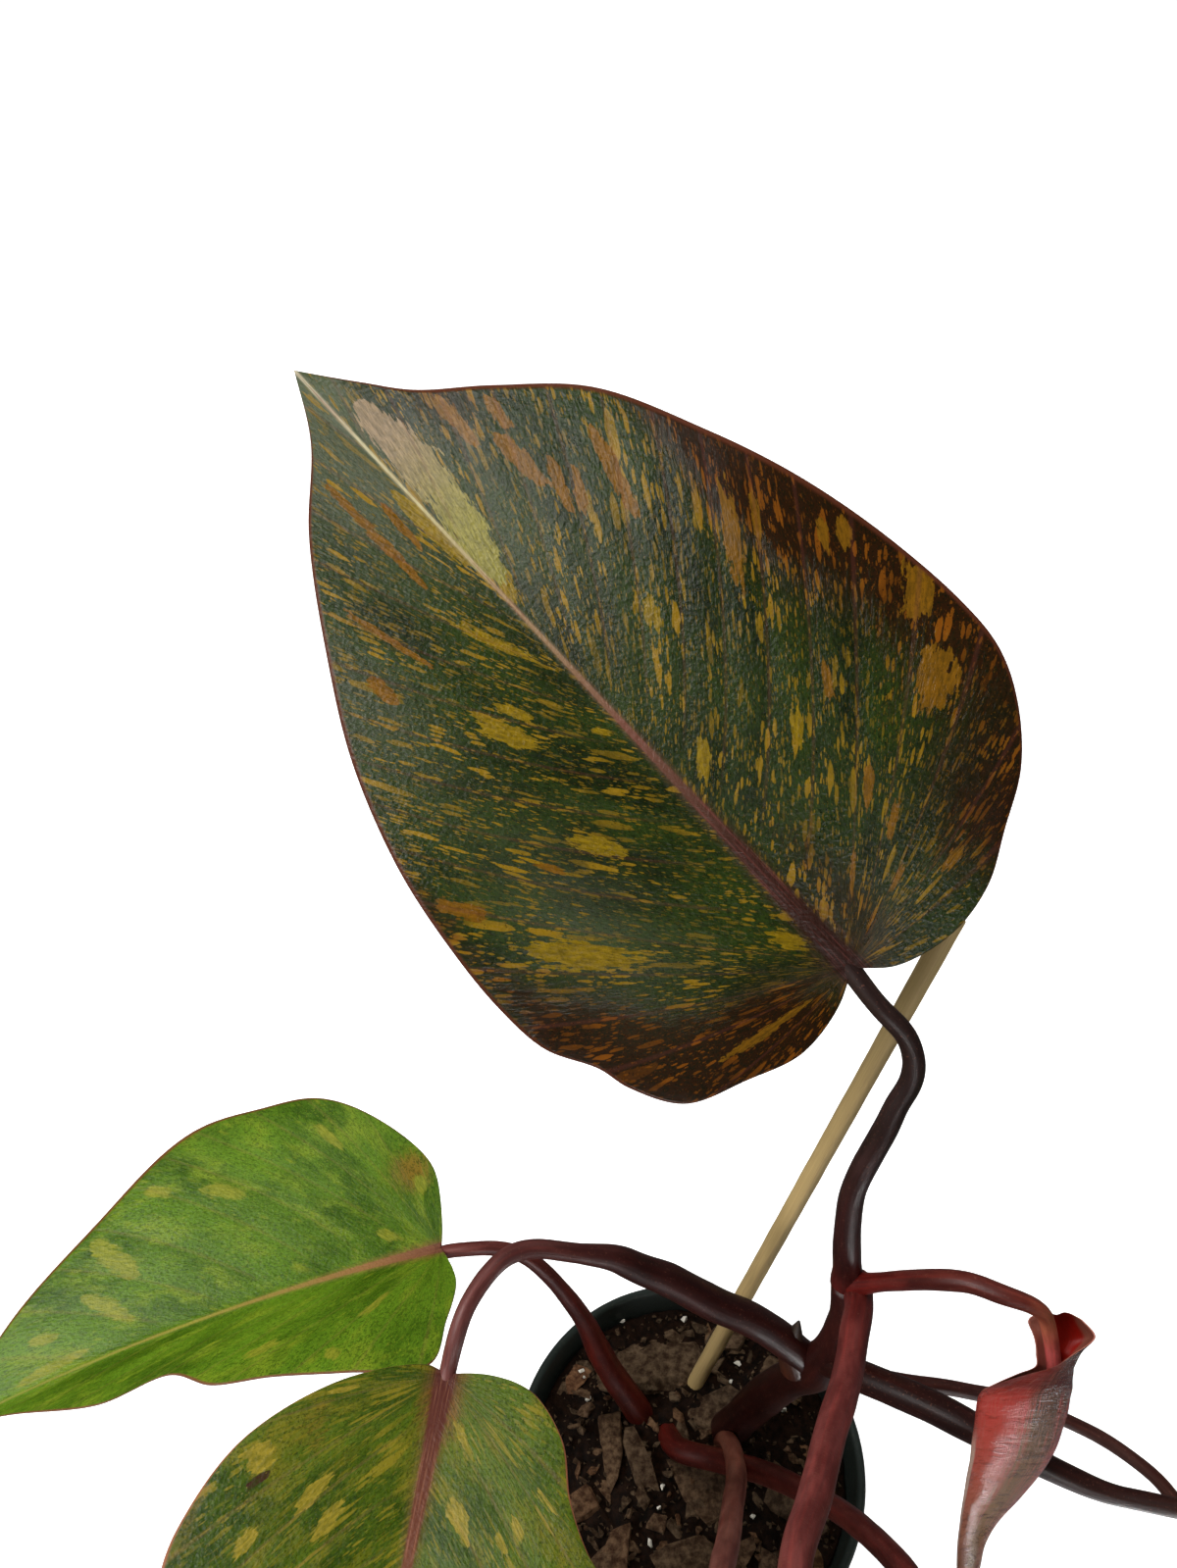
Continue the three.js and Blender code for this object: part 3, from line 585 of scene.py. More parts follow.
C_BROWN = [(.02, 0, .10, .05, .7), (.25, .36, .2, .04, .5), (.3, -.34, .2, .04, .6),
           (.10, .20, .10, .05, .4)]
B_BROWN = [(.02, .16, .06, .06, .7), (.05, 0, .12, .03, .6), (.55, .36, .2, .03, .4)]


def marks_of(first=(), second=(), third=(), tone=()):
    """The marks of a leaf as four values per point: three kinds of stroke, and its brown parts."""
    def fields(s, c, *vein):
        return [*(stroke_field(s, c, *vein, strokes) for strokes in (first, second, third)),
                patch_field(s, c, tone)]
    return fields


def vein_space(vein, across, along, shift=0.0):
    """The vein coordinates in units of across and along, which are sizes in millimetres."""
    return vein.stretched((1 / across, 1 / along, 0), (shift, shift * 0.7, shift))


def vein_noise(vein, across, along, detail=3.0, rough=0.55, shift=0.0):
    """Noise drawn out along the veins."""
    return vein.shader.noise(vein_space(vein, across, along, shift), 1.0, detail, rough)


def dashes(shader, vein, across, along, share, shift, soft):
    """Short dashes along the veins: one in each of a share of the cells."""
    where = vein_space(vein, across, along, shift)
    bend = shader.noise(where, 1.6, 3, 0.6, "Color")
    node = shader.nodes.new("ShaderNodeTexVoronoi")
    node.voronoi_dimensions = "2D"
    shader.put(bend.stretched((0.55, 0.5, 0), where), node.inputs["Vector"])
    node.inputs["Scale"].default_value = 1.0
    chance, size, _ = Value(shader, node.outputs["Color"]).split()
    inside = size.scaled(0.32, 0.14) - Value(shader, node.outputs["Distance"])
    return inside.smooth(0.0, soft) * chance.smooth(share + 0.02, share)


def leaf_top(name, green, deep, brown, speck, speck_brown, splash, midrib, rib_line, rib_width,
             edge, dash_sizes, soft=0.05, roughness=0.36, mottle=None, fray=1.0, pale=None,
             cream_tip=None):
    """The upper face of a variegated leaf."""
    shader = Shader(name, roughness, specular=0.27)
    vein = shader.attribute("vein", "Vector")
    split = shader.nodes.new("ShaderNodeSeparateColor")
    shader.put(shader.attribute("marks", "Color"), split.inputs[0])
    stroke_marks = [Value(shader, output) for output in split.outputs]
    along, _, off_mid = shader.attribute("leaf", "Vector").split()
    across_mm, _, reach = vein.split()

    broad = vein_noise(vein, 16, 40, 3, 0.6)
    fine = vein_noise(vein, 0.6, 3.5, 4, 0.65, 3.1)
    grain = vein_noise(vein, 0.32, 0.8, 3, 0.7, 5.5)
    tone = shader.attribute("marks", "Alpha") + broad.scaled(0.7, -0.35)
    tone = (tone + fine.scaled(0.7, -0.35)).smooth(0.25, 0.75)
    ground = shader.mix(broad.smooth(0.35, 0.65), deep, green)
    ground = shader.mix(fine.smooth(0.4, 0.65) * 0.5, ground, green)
    if mottle:
        blotch = vein_noise(vein, 5, 14, 4, 0.6, 9.3)
        ground = shader.mix(blotch.smooth(0.48, 0.70), ground, mottle)
    ground = shader.mix(tone, ground, brown)
    # Painted sheen: pale grey-green patches where the leaf shines, partly its own grey-green near the
    # tip
    if pale:
        painted_sheen = shader.attribute("pale") * grain.smooth(0.25, 0.75)
        ground = shader.mix(painted_sheen, ground, pale)
    ground = shader.mix(grain.smooth(0.46, 0.64) * 0.7, ground, dim(deep, 0.55))

    # Dashes, from fine to coarse, each drawn out along the veins
    speck_colour = shader.mix(tone, speck, speck_brown)
    density = vein_noise(vein, 7, 16, 3, 0.5, 7.7).smooth(0.38, 0.62)
    for number, (across, long, share, strength) in enumerate(dash_sizes):
        mask = dashes(shader, vein, across, long, share, 11.0 * number + 2, soft)
        mask = mask * density.scaled(0.6 * strength, 0.4 * strength)
        ground = shader.mix(mask, ground, speck_colour)

    # Fine grain: dark pits and pale points
    pits = shader.cells(vein_space(vein, 0.75, 0.9, 4.0))
    ground = shader.mix(pits.smooth(0.24, 0.12) * 0.6, ground, dim(deep, 0.3))
    points = vein_noise(vein, 0.22, 0.7, 2, 0.6, 12.5)
    ground = shader.mix(points.smooth(0.62, 0.7) * 0.5, ground, speck_colour)

    # Large strokes with ends frayed along the veins
    ragged = vein_noise(vein, 0.8, 8.0, 4, 0.65, 21.0) * 1.2
    ragged = ragged + vein_noise(vein, 1.6, 3.0, 3, 0.6, 31.0) * 0.9
    ragged = ragged.scaled(fray, -1.05 * fray)
    if cream_tip:
        splash = (*splash[:2], shader.mix(along.smooth(0.68, 0.86), splash[2], cream_tip))
    for mark, colour in zip(stroke_marks, splash):
        mask = (mark + ragged).smooth(0.34, 0.34 + 0.6 * soft + 0.02) * mark.smooth(0.02, 0.1)
        inner = shader.mix(fine.smooth(0.35, 0.65) * 0.45, colour, deep)
        inner = shader.mix(grain.smooth(0.5, 0.66) * 0.35, inner, deep)
        ground = shader.mix(mask, ground, inner)

    # Lateral veins, the midrib and the thin coloured rim
    phase = shader.math("PINGPONG", across_mm, VEIN_STEP / 2)
    line = phase.smooth(0.5, 0.1) * reach.smooth(0.05, 0.3)
    ground = shader.mix(line * 0.14, ground, rib_line)
    slim = shader.math("POWER", shader.math("SUBTRACT", 1.0, along, clamp=True), 4.0)
    width = slim.scaled(rib_width[1], rib_width[0]) * fine.scaled(0.7, 0.65)
    on_rib = shader.math("DIVIDE", off_mid, width)
    rib_colour = shader.ramp(along, midrib)
    lines = shader.nodes.new("ShaderNodeCombineXYZ")
    shader.put(along * 9.0, lines.inputs[0])
    shader.put(off_mid * 1.9, lines.inputs[1])
    streak = shader.noise(Value(shader, lines.outputs[0]), 1.0, 3, 0.6)
    rib_colour = shader.mix(streak.smooth(0.48, 0.66) * 0.55, rib_colour, rib_line)
    ground = shader.mix(on_rib.smooth(2.6, 0.9) * 0.35, ground, rib_colour)
    ground = shader.mix(on_rib.smooth(1.25, 0.7), ground, rib_colour)
    ground = shader.mix(reach.smooth(0.982, 0.995), ground, edge)
    shader.colour(ground)

    where = shader.position()
    shader.rough(shader.noise(where, 120, 4, 0.6).scaled(0.2, roughness - 0.1))
    height = shader.noise(where, 1500, 3, 0.6) * 0.6 + shader.cells(where, 900) * 0.5
    height = (height + fine * 0.9) * tone.scaled(-0.8, 1.0)
    shader.bump(height, 0.00022)
    return shader.material


def leaf_under(name, colour, vein_colour):
    """The lower face: paler and duller, with the veins standing out."""
    shader = Shader(name, 0.55, specular=0.35)
    vein = shader.attribute("vein", "Vector")
    across_mm, _, _ = vein.split()
    _, _, off_mid = shader.attribute("leaf", "Vector").split()
    fine = vein_noise(vein, 0.8, 4.0, 4, 0.6, 4.0)
    base = shader.mix(vein_noise(vein, 12, 30, 3, 0.6, 2.0).smooth(0.3, 0.7), colour,
                      dim(colour, 0.6))
    base = shader.mix(fine.smooth(0.5, 0.7) * 0.4, base, vein_colour)
    phase = shader.math("PINGPONG", across_mm, VEIN_STEP / 2)
    base = shader.mix(phase.smooth(0.7, 0.15) * 0.5, base, vein_colour)
    base = shader.mix(off_mid.smooth(3.0, 1.8), base, vein_colour)
    shader.colour(base)
    shader.bump(fine + shader.noise(shader.position(), 1200, 2), 0.00012, 0.6)
    return shader.material


def leaf_edge(name, colour):
    shader = Shader(name, 0.45)
    shader.colour(shader.mix(shader.noise(shader.position(), 700), colour, dim(colour, 0.5)))
    return shader.material


A_TOP = leaf_top(
    "dark_leaf_top", green=srgb(40, 56, 14), deep=srgb(14, 24, 4), brown=srgb(38, 18, 2),
    speck=srgb(134, 104, 16), speck_brown=srgb(118, 66, 8),
    splash=(srgb(122, 82, 10), srgb(138, 112, 12), srgb(146, 138, 62)),
    cream_tip=srgb(150, 128, 98), roughness=0.3,
    midrib=[(0, (40, 20, 14)), (.2, (58, 32, 24)), (.4, (112, 74, 58)), (.6, (150, 126, 90)),
            (.75, (176, 166, 120)), (1, (180, 172, 146))],
    rib_line=srgb(116, 60, 54), rib_width=(0.3, 3.0), edge=srgb(84, 42, 26),
    # The pale colour is painted sheen
    pale=srgb(104, 112, 86),
    dash_sizes=((0.5, 2.0, .30, .7), (0.8, 4.2, .24, .9), (1.3, 7.5, .18, 1.0),
                (2.3, 13.0, .10, 1.0)))
B_TOP = leaf_top(
    "green_leaf_top", green=srgb(90, 124, 22), deep=srgb(48, 78, 2), brown=srgb(126, 98, 26),
    speck=srgb(136, 144, 34), speck_brown=srgb(150, 116, 40),
    splash=(srgb(150, 120, 50), srgb(136, 138, 38), srgb(165, 160, 90)),
    midrib=[(0, (112, 66, 52)), (.15, (140, 100, 60)), (.5, (136, 132, 50)), (1, (118, 130, 50))],
    rib_line=srgb(140, 104, 60), rib_width=(0.35, 1.5), edge=srgb(110, 66, 36), soft=0.45,
    mottle=srgb(112, 134, 28), fray=0.8,
    dash_sizes=((0.8, 2.4, .25, .4), (1.6, 6.0, .22, .5), (3.6, 11.0, .14, .6)))
C_TOP = leaf_top(
    "streaked_leaf_top", green=srgb(78, 98, 12), deep=srgb(38, 60, 0), brown=srgb(112, 80, 18),
    speck=srgb(126, 114, 22), speck_brown=srgb(140, 92, 28),
    splash=(srgb(60, 26, 20), srgb(146, 128, 36), srgb(165, 160, 90)),
    midrib=[(0, (74, 32, 26)), (.25, (100, 56, 40)), (.5, (126, 92, 56)), (1, (120, 110, 50))],
    rib_line=srgb(148, 98, 72), rib_width=(0.6, 2.4), edge=srgb(150, 92, 66), soft=0.12,
    mottle=srgb(100, 100, 16), fray=0.9,
    dash_sizes=((0.6, 3.5, .45, .6), (1.0, 9.0, .40, .75), (1.9, 18.0, .22, .8)))
DARK_BACK = [leaf_under("dark_leaf_under", srgb(96, 52, 40), srgb(120, 60, 48)),
             leaf_edge("dark_leaf_edge", srgb(96, 32, 20))]
GREEN_BACK = [leaf_under("green_leaf_under", srgb(112, 122, 60), srgb(140, 96, 62)),
              leaf_edge("green_leaf_edge", srgb(128, 78, 50))]

leaf_piece("a", [A_TOP, *DARK_BACK], "dark_leaf",
           marks_of(A_TAN, A_YELLOW, A_CREAM, A_BROWN), A_PAINTED_SHEEN)
leaf_piece("b", [B_TOP, *GREEN_BACK], "green_leaf", marks_of((), B_YELLOW, (), B_BROWN))
leaf_piece("c", [C_TOP, *GREEN_BACK], "green_leaf", marks_of(C_SCAR, C_YELLOW, (), C_BROWN))
for key in "fi":
    leaf_piece(key, [B_TOP, *GREEN_BACK], "green_leaf", marks_of((), B_YELLOW, (), B_BROWN))
for key in "egh":
    leaf_piece(key, [C_TOP, *GREEN_BACK], "green_leaf", marks_of((), C_YELLOW, (), C_BROWN))


# Stem and leaf stalks

# Radii at even steps, and the points that the middle line passes through, in millimetres
STEM_ROUTE = [(7, 12, 62), (14.5, 10, 88), (21.5, 9, 111), (27.5, 6, 132), (32.5, 1.5, 150),
              (34.5, -2, 171), (35, -3, 191), (33.5, -3, 206)]
STEM_RADII = [5.8, 6.2, 5.4, 5.9, 5.2, 6.2, 5, 4.6, 4.8]
SCALE_ROUTE = [(27, 2, 150), (25, 3, 158), (26, 5, 170)]
SCALE_RADII = [4.5, 3.8, 0.4]
# Length of each ring of a stalk, in millimetres
STALK_STEP = 1.2
STALKS = {
    "a": ([3.7, 3.4, 3.1, 2.9, 2.9, 2.6, 2.4, 2.3, 2.3],
          [(33, -2, 206), (30.5, -1, 223.5), (30, .5, 231.5), (30, 2, 238.5), (31, 3, 245.5),
           (33.5, 5, 253), (35.5, 6, 261), (37, 7.5, 267), (39, 8.5, 272), (39.5, 10, 277),
           (38.5, 12, 281), (36.5, 13.5, 284.5), (33, 15, 287.5), (29.5, 17.5, 290.5),
           (26, 20.5, 293.5)]),
    "d": ([2.6, 2.2, 2.3, 2.4, 2.2, 1.8, 1.7, 1.7],
          [(34, -4, 208), (37.5, -6.5, 214), (43.5, -10, 222), (48.5, -14, 230), (54, -17, 234.5),
           (59.5, -20.5, 236), (65, -22.5, 236), (68.2, -23.2, 233.7), (70.2, -23.7, 229.2),
           (71.9, -25, 224.1), (73, -26.6, 219.5), (73.8, -28.2, 215.6)]),
    "e": ([3.6, 3.5, 3.5, 3.4, 3.3, 3, 2.6],
          [(35, -1.5, 205), (34.5, -8.5, 207), (31.5, -16.5, 209.5), (29, -24, 211.5),
           (24.5, -34.5, 218), (19.5, -44.5, 225), (12, -61.5, 237.5), (5, -76, 249.5),
           (2.5, -90, 256.2)]),
    "c": ([4.2, 4.5, 4.6, 4.5, 4.4, 3.7, 2.5, 2.4, 2.3, 2.2, 2.1],
          [(32, 2, 151), (26.5, 2.5, 158), (19, 4, 166), (11.5, 5, 172.5), (4.5, 5.5, 177),
           (-3, 6.5, 182.5), (-10, 7.5, 188), (-17.5, 8, 192.5), (-24.5, 8, 198.5),
           (-31, 7.5, 201), (-37.5, 7, 203.5), (-44.5, 6.5, 206), (-51, 4.5, 207), (-54.5, 2, 206),
           (-57.5, -1, 204.5), (-61.5, -7, 202), (-63.5, -11.5, 198.5), (-65.5, -17, 192.5)]),
    "b": ([4.4, 4.4, 4.2, 3.8, 3, 2.5, 2.3, 2.1, 2],
          [(-9, 11, 74), (-17.5, 17.5, 90), (-23.5, 21, 100.5), (-28.5, 23.5, 114),
           (-32.5, 25.5, 127.5), (-38, 28, 138.5), (-45, 31, 148.5), (-51.5, 33, 154),
           (-59, 33.5, 156.5), (-66, 33, 157), (-73.5, 33, 156)]),
    "f": ([3.9, 3.9, 4, 3.9, 3.4, 2.8, 2.2, 2.2, 2.4, 2.4],
          [(34, -2, 163), (37, -8.5, 171), (42.5, -13.5, 176), (49, -18.5, 180), (55, -23, 183),
           (60.5, -27, 184.5), (69.5, -32.5, 185), (76, -36, 185), (83.5, -39.5, 184.5),
           (90, -42.5, 185), (96.5, -44.5, 186.5), (103, -46.5, 188), (114.5, -49.5, 191),
           (125, -51, 194)]),
    "g": ([2.6, 2.2, 2, 1.9, 1.7, 1.7, 1.9, 1.9, 1.9],
          [(34, 0, 160), (42.5, -6, 163.5), (53.5, -8.5, 164), (64.5, -10.5, 165.5),
           (70.5, -12, 166), (82, -15.5, 169), (92, -20.5, 169), (98, -24, 169.5),
           (104, -29, 170), (110, -35, 169.5), (114, -43, 168), (120, -55.5, 163),
           (127, -68.5, 153.5)]),
    "h": ([3.2, 3, 3, 2.9, 2.9, 2.8, 2.6, 2.4],
          [(10.5, 7.5, 76), (12, 6, 88), (12.5, -2, 102.5), (11.5, -13.5, 117), (6, -33.5, 147.5),
           (1.5, -49, 172.5), (-2, -59, 190), (-7, -76, 213.5), (-11, -87, 225),
           (-14, -97, 232.4)]),
    "i": ([3.6, 3.6, 3.4, 3.2, 3, 2.9, 2.8, 2.6, 2.5],
          [(-9, 14, 72), (-6.5, 12.5, 81), (-3.5, 3, 89.5), (9, -4.5, 100), (19.5, -14.5, 118.5),
           (27.5, -27.5, 141), (32.5, -41, 165), (36, -59, 193.5), (38, -71.5, 208),
           (41, -85, 219), (46, -99.5, 224.4)]),
}
# Colours along each stalk: share of its length, and the colour in sRGB
STALK_COLOURS = {
    # The stem is painted darker than its own maroon: painted shade, for the shade under the leaves
    "stem": [(0, (36, 12, 8)), (.35, (40, 12, 8)), (.6, (44, 14, 10)), (1, (58, 18, 14))],
    "a": [(0, (84, 22, 18)), (.12, (52, 18, 16)), (.5, (44, 26, 24)), (1, (46, 34, 30))],
    "d": [(0, (104, 22, 16)), (.3, (78, 28, 24)), (.65, (96, 40, 30)), (.80, (186, 104, 76)),
          (.9, (196, 92, 88)), (1, (176, 78, 76))],
    "e": [(0, (92, 30, 26)), (.3, (110, 50, 46)), (1, (108, 54, 50))],
    "c": [(0, (44, 12, 8)), (.5, (52, 18, 14)), (.62, (80, 40, 36)), (1, (112, 66, 62))],
    "b": [(0, (60, 16, 8)), (.4, (84, 24, 16)), (.7, (76, 30, 24)), (1, (104, 52, 46))],
    "f": [(0, (40, 13, 8)), (.4, (40, 14, 10)), (1, (46, 24, 18))],
    "g": [(0, (60, 26, 20)), (.4, (66, 32, 26)), (1, (80, 52, 44))],
    "h": [(0, (80, 40, 28)), (.2, (134, 84, 68)), (1, (116, 68, 62))],
    # The foot of stalk i is painted darker: painted shade, where it lies in shade low in the plant
    "i": [(0, (76, 16, 10)), (.2, (70, 22, 16)), (1, (88, 34, 30))],
}


def spread(values, t):
    """Values at even steps from 0 to 1, read at t."""
    return np.interp(t, np.linspace(0, 1, len(values)), values)


def eased(line, rounds):
    """The line with its small bends eased; its ends stay."""
    line = line.copy()
    for _ in range(rounds):
        line[1:-1] += 0.5 * ((line[:-2] + line[2:]) / 2 - line[1:-1])
    return line


def stalk_piece(name, route, radii, colours, steps, sides, slot, material, *nodes, flare=0.0):
    """A stalk of uneven thickness along a route, with a shallow groove and round ends.

    Its foot is thicker by flare millimetres.
    """
    centre = eased(catmull(route, steps), 6)
    t = np.linspace(0, 1, steps + 1)
    far = t * np.linalg.norm(np.diff(centre, axis=0), axis=1).sum()
    radius = spread(radii, t) + flare * np.exp(-(far / 4.0) ** 2)
    radius = radius * (1 + 0.008 * np.sin(far * 0.45 + 1) + 0.008 * np.sin(far * 0.23 + 4))
    tangent, one, two = route_frames(centre)
    turn = circle(sides)
    groove = 1 - 0.035 * np.exp(-((turn - np.pi / 2) / 0.5) ** 2) + 0.012 * np.cos(5 * turn + 1)
    rings = (centre[:, None] + radius[:, None, None] * (
        np.cos(turn)[None, :, None] * one[:, None] + np.sin(turn)[None, :, None] * two[:, None])
        * groove[None, :, None])

    def cap(end, shrinks):
        """Rings past an end: each one's share of the end's size, and its distance in radii."""
        return [centre[end] + (rings[end] - centre[end]) * size + tangent[end] * radius[end] * lift
                for size, lift in shrinks]

    body = np.concatenate([cap(0, [(0.55, -0.3), (0.92, -0.12)]), rings,
                           cap(-1, [(0.92, 0.12), (0.55, 0.3)])])
    count = len(body)
    points, faces = closed_rings(body, centre[0] - 0.35 * tangent[0] * radius[0],
                                 centre[-1] + 0.35 * tangent[-1] * radius[-1])
    stops = [stop for stop, _ in colours]
    shades = np.array([srgb(*colour) for _, colour in colours])
    place = np.r_[0, 0, t, 1, 1]
    tint = np.stack([*(np.interp(place, stops, shade) for shade in shades.T), np.ones(count)], 1)
    tint = np.repeat(tint, sides, 0)
    way = np.stack([np.repeat(np.r_[0, 0, far, far[-1], far[-1]], sides),
                    np.tile(np.cos(turn), count), np.tile(np.sin(turn), count)], 1)
    attributes = {"tint": np.vstack([tint, tint[0], tint[-1]]),
                  "way": np.vstack([way, (0, 0, 0), (far[-1], 0, 0)])}
    piece = make_mesh(name, points, faces, [material], attributes)
    merge_close(piece)
    return dress(piece, slot, *nodes)


def stalk_material(name, roughness, freckle):
    """Skin tinted by the piece's own colours, with dark clouds, fine lines and small dots."""
    shader = Shader(name, roughness, specular=0.35)
    way = shader.attribute("way", "Vector")
    long_lines = shader.noise(way.stretched((0.05, 5.0, 5.0)), 1.0, 4, 0.6)
    cloud = shader.noise(way.stretched((0.08, 0.8, 0.8)), 1.0, 3, 0.6)
    dots = shader.noise(shader.position(), 1700, 2, 0.6)
    shade = shader.mix(cloud.smooth(0.35, 0.65), shader.attribute("tint", "Color"),
                       (0.55, 0.42, 0.42), "MULTIPLY")
    shade = shader.mix(long_lines.smooth(0.45, 0.66) * 0.6, shade, (1.5, 1.25, 1.2), "MULTIPLY")
    shader.colour(shader.mix(dots.smooth(0.62, 0.7) * 0.5, shade, freckle))
    shader.rough(cloud.scaled(0.2, roughness - 0.1))
    shader.bump(long_lines + dots * 0.4, 0.00018, 0.6)
    return shader.material


STALK = stalk_material("stalk_skin", 0.42, srgb(112, 70, 56))
stalk_piece("stem_trunk", STEM_ROUTE, STEM_RADII, STALK_COLOURS["stem"], 120, 28, "stalk", STALK,
            "stem")
stalk_piece("sheath_scale", SCALE_ROUTE, SCALE_RADII,
            [(0, (70, 34, 20)), (.6, (60, 40, 30)), (1, (56, 52, 46))], 30, 20, "dry_scale", STALK,
            "stem_scale")
for key, (radii, route) in STALKS.items():
    if key in BLADES:
        leaf = BLADES[key]
        base, tip, up = (np.array(leaf[part], float) for part in ("base", "tip", "up"))
        # The stalk ends in the foot of its blade
        inward = base + 5 * unit(tip - base) - 1.6 * unit(up)
        route = route[:-1] + [(np.array(route[-1]) + base - 2 * unit(up)) / 2, inward]
    length = np.linalg.norm(np.diff(np.array(route), axis=0), axis=1).sum()
    stalk_piece("stalk_" + key, route, radii, STALK_COLOURS[key], int(length / STALK_STEP), 24, "stalk",
                STALK, "petiole_" + key, flare=0.6)


# The young leaf, still rolled

# Middle of each ring from the mouth to the tip, its half width and its half depth
ROLL_RINGS = [
    (71.5, -22.2, 232.5, 5.6, 6), (72.3, -23.4, 229.5, 6.8, 6.8), (74.1, -25.4, 226.4, 6.9, 6.6),
    (73, -27.4, 223.2, 5.2, 5.6), (72.5, -29, 220.5, 4.5, 5.8), (70.5, -29.9, 218.7, 6.3, 7.2),
    (68.1, -31.1, 216.5, 8.8, 8.8), (66.4, -32.4, 214.1, 10.4, 10), (66, -34.5, 210.1, 10.4, 10.2),
    (65.4, -37, 205.6, 10.1, 9.8), (64.4, -40, 200.5, 9.4, 8.9), (62.8, -42.6, 195.4, 8.2, 7.8),
    (60.6, -45.5, 190.2, 6.5, 6.2), (58.3, -48.3, 184.9, 4.5, 4.3), (56.9, -51.2, 179.6, 3.3, 3.1),
    (56.6, -54.2, 174.2, 2.8, 2.6), (56.2, -57.3, 168.6, 2, 1.9), (55.5, -60.4, 163, 0.5, 0.5)]
# The rays: their angle in degrees and where on the way from mouth to tip each one starts
ROLL_RAYS = [
    (195, .062), (208, .034), (222, .02), (238, .007), (256, .01), (274, .02), (292, .012),
    (310, .02), (328, .039), (344, .074), (360, .118), (376, .143), (394, .165), (414, .19),
    (434, .217), (454, .243), (474, .279), (494, .312), (512, .347), (528, .38), (540, .412),
    (545, .353), (549, .272), (552, .162), (555, .062)]
ROLL_AHEAD = (-.324, -.376, .868)


def smooth_spread(values, t):
    """Values at even steps from 0 to 1, read at t on a smooth curve through them."""
    v = np.asarray(values, float)
    last = len(v) - 1
    place = np.clip(t, 0, 1) * last
    i = np.minimum(place.astype(int), last - 1)
    f = (place - i)[..., None]
    p0, p1, p2, p3 = v[np.maximum(i - 1, 0)], v[i], v[i + 1], v[np.minimum(i + 2, last)]
    return 0.5 * (2 * p1 + (p2 - p0) * f + (2 * p0 - 5 * p1 + 4 * p2 - p3) * f ** 2
                  + (3 * p1 - p0 - 3 * p2 + p3) * f ** 3)


def rolled_leaf(materials):
    """A thin sheet in a cone: its outer face, its inner face and the rim between them."""
    steps, sides = 110, 192
    ray = np.arange(sides) / sides
    angle = np.radians(spread([a for a, _ in ROLL_RAYS], ray))
    top = spread([start for _, start in ROLL_RAYS], ray)
    for _ in range(6):
        top = (np.roll(top, 1) + 2 * top + np.roll(top, -1)) / 4
    top = top + 0.004 * np.sin(7 * angle) * (top < 0.1)
    share = np.linspace(0, 1, steps + 1)[:, None] ** 1.6
    t = top + (1 - top) * share
    rings = smooth_spread(ROLL_RINGS, t)
    right, ahead = np.array((1.0, 0, 0)), np.array(ROLL_AHEAD)

    def face(inset):
        ripple = 1 + 0.012 * np.sin(70 * t + 2 * np.sin(angle)) * np.clip(1 - t, 0, 1)
        wide = np.maximum(rings[..., 3] * ripple - inset, 0.1)
        deep = np.maximum(rings[..., 4] * ripple - inset, 0.1)
        return (rings[..., :3] + (wide * np.cos(angle))[..., None] * right
                + (deep * np.sin(angle))[..., None] * ahead)

    points = np.vstack([face(0.05).reshape(-1, 3), face(0.45).reshape(-1, 3)])
    per = (steps + 1) * sides
    faces = ring_faces(steps + 1, sides)
    kinds = [0] * len(faces)
    faces += [tuple(corner + per for corner in face[::-1]) for face in faces]
    kinds += [1] * len(kinds)
    for s in range(sides):
        after = (s + 1) % sides
        faces.append((s, s + per, after + per, after))
        low = steps * sides
        faces.append((low + s, low + after, low + after + per, low + s + per))
        kinds += [2, 0]
    roll = np.stack([t, np.cos(angle) + 0 * t, np.sin(angle) + 0 * t], -1).reshape(-1, 3)
    down = (np.repeat(share[:, 0], sides)) * 100
    attributes = {"roll": np.vstack([roll, roll]), "margin": np.r_[down, down]}
    piece = make_mesh("leaf_d_rolled", points, faces, materials, attributes, kinds)
    merge_close(piece)
    return dress(piece, "rolled_leaf", "blade_d")


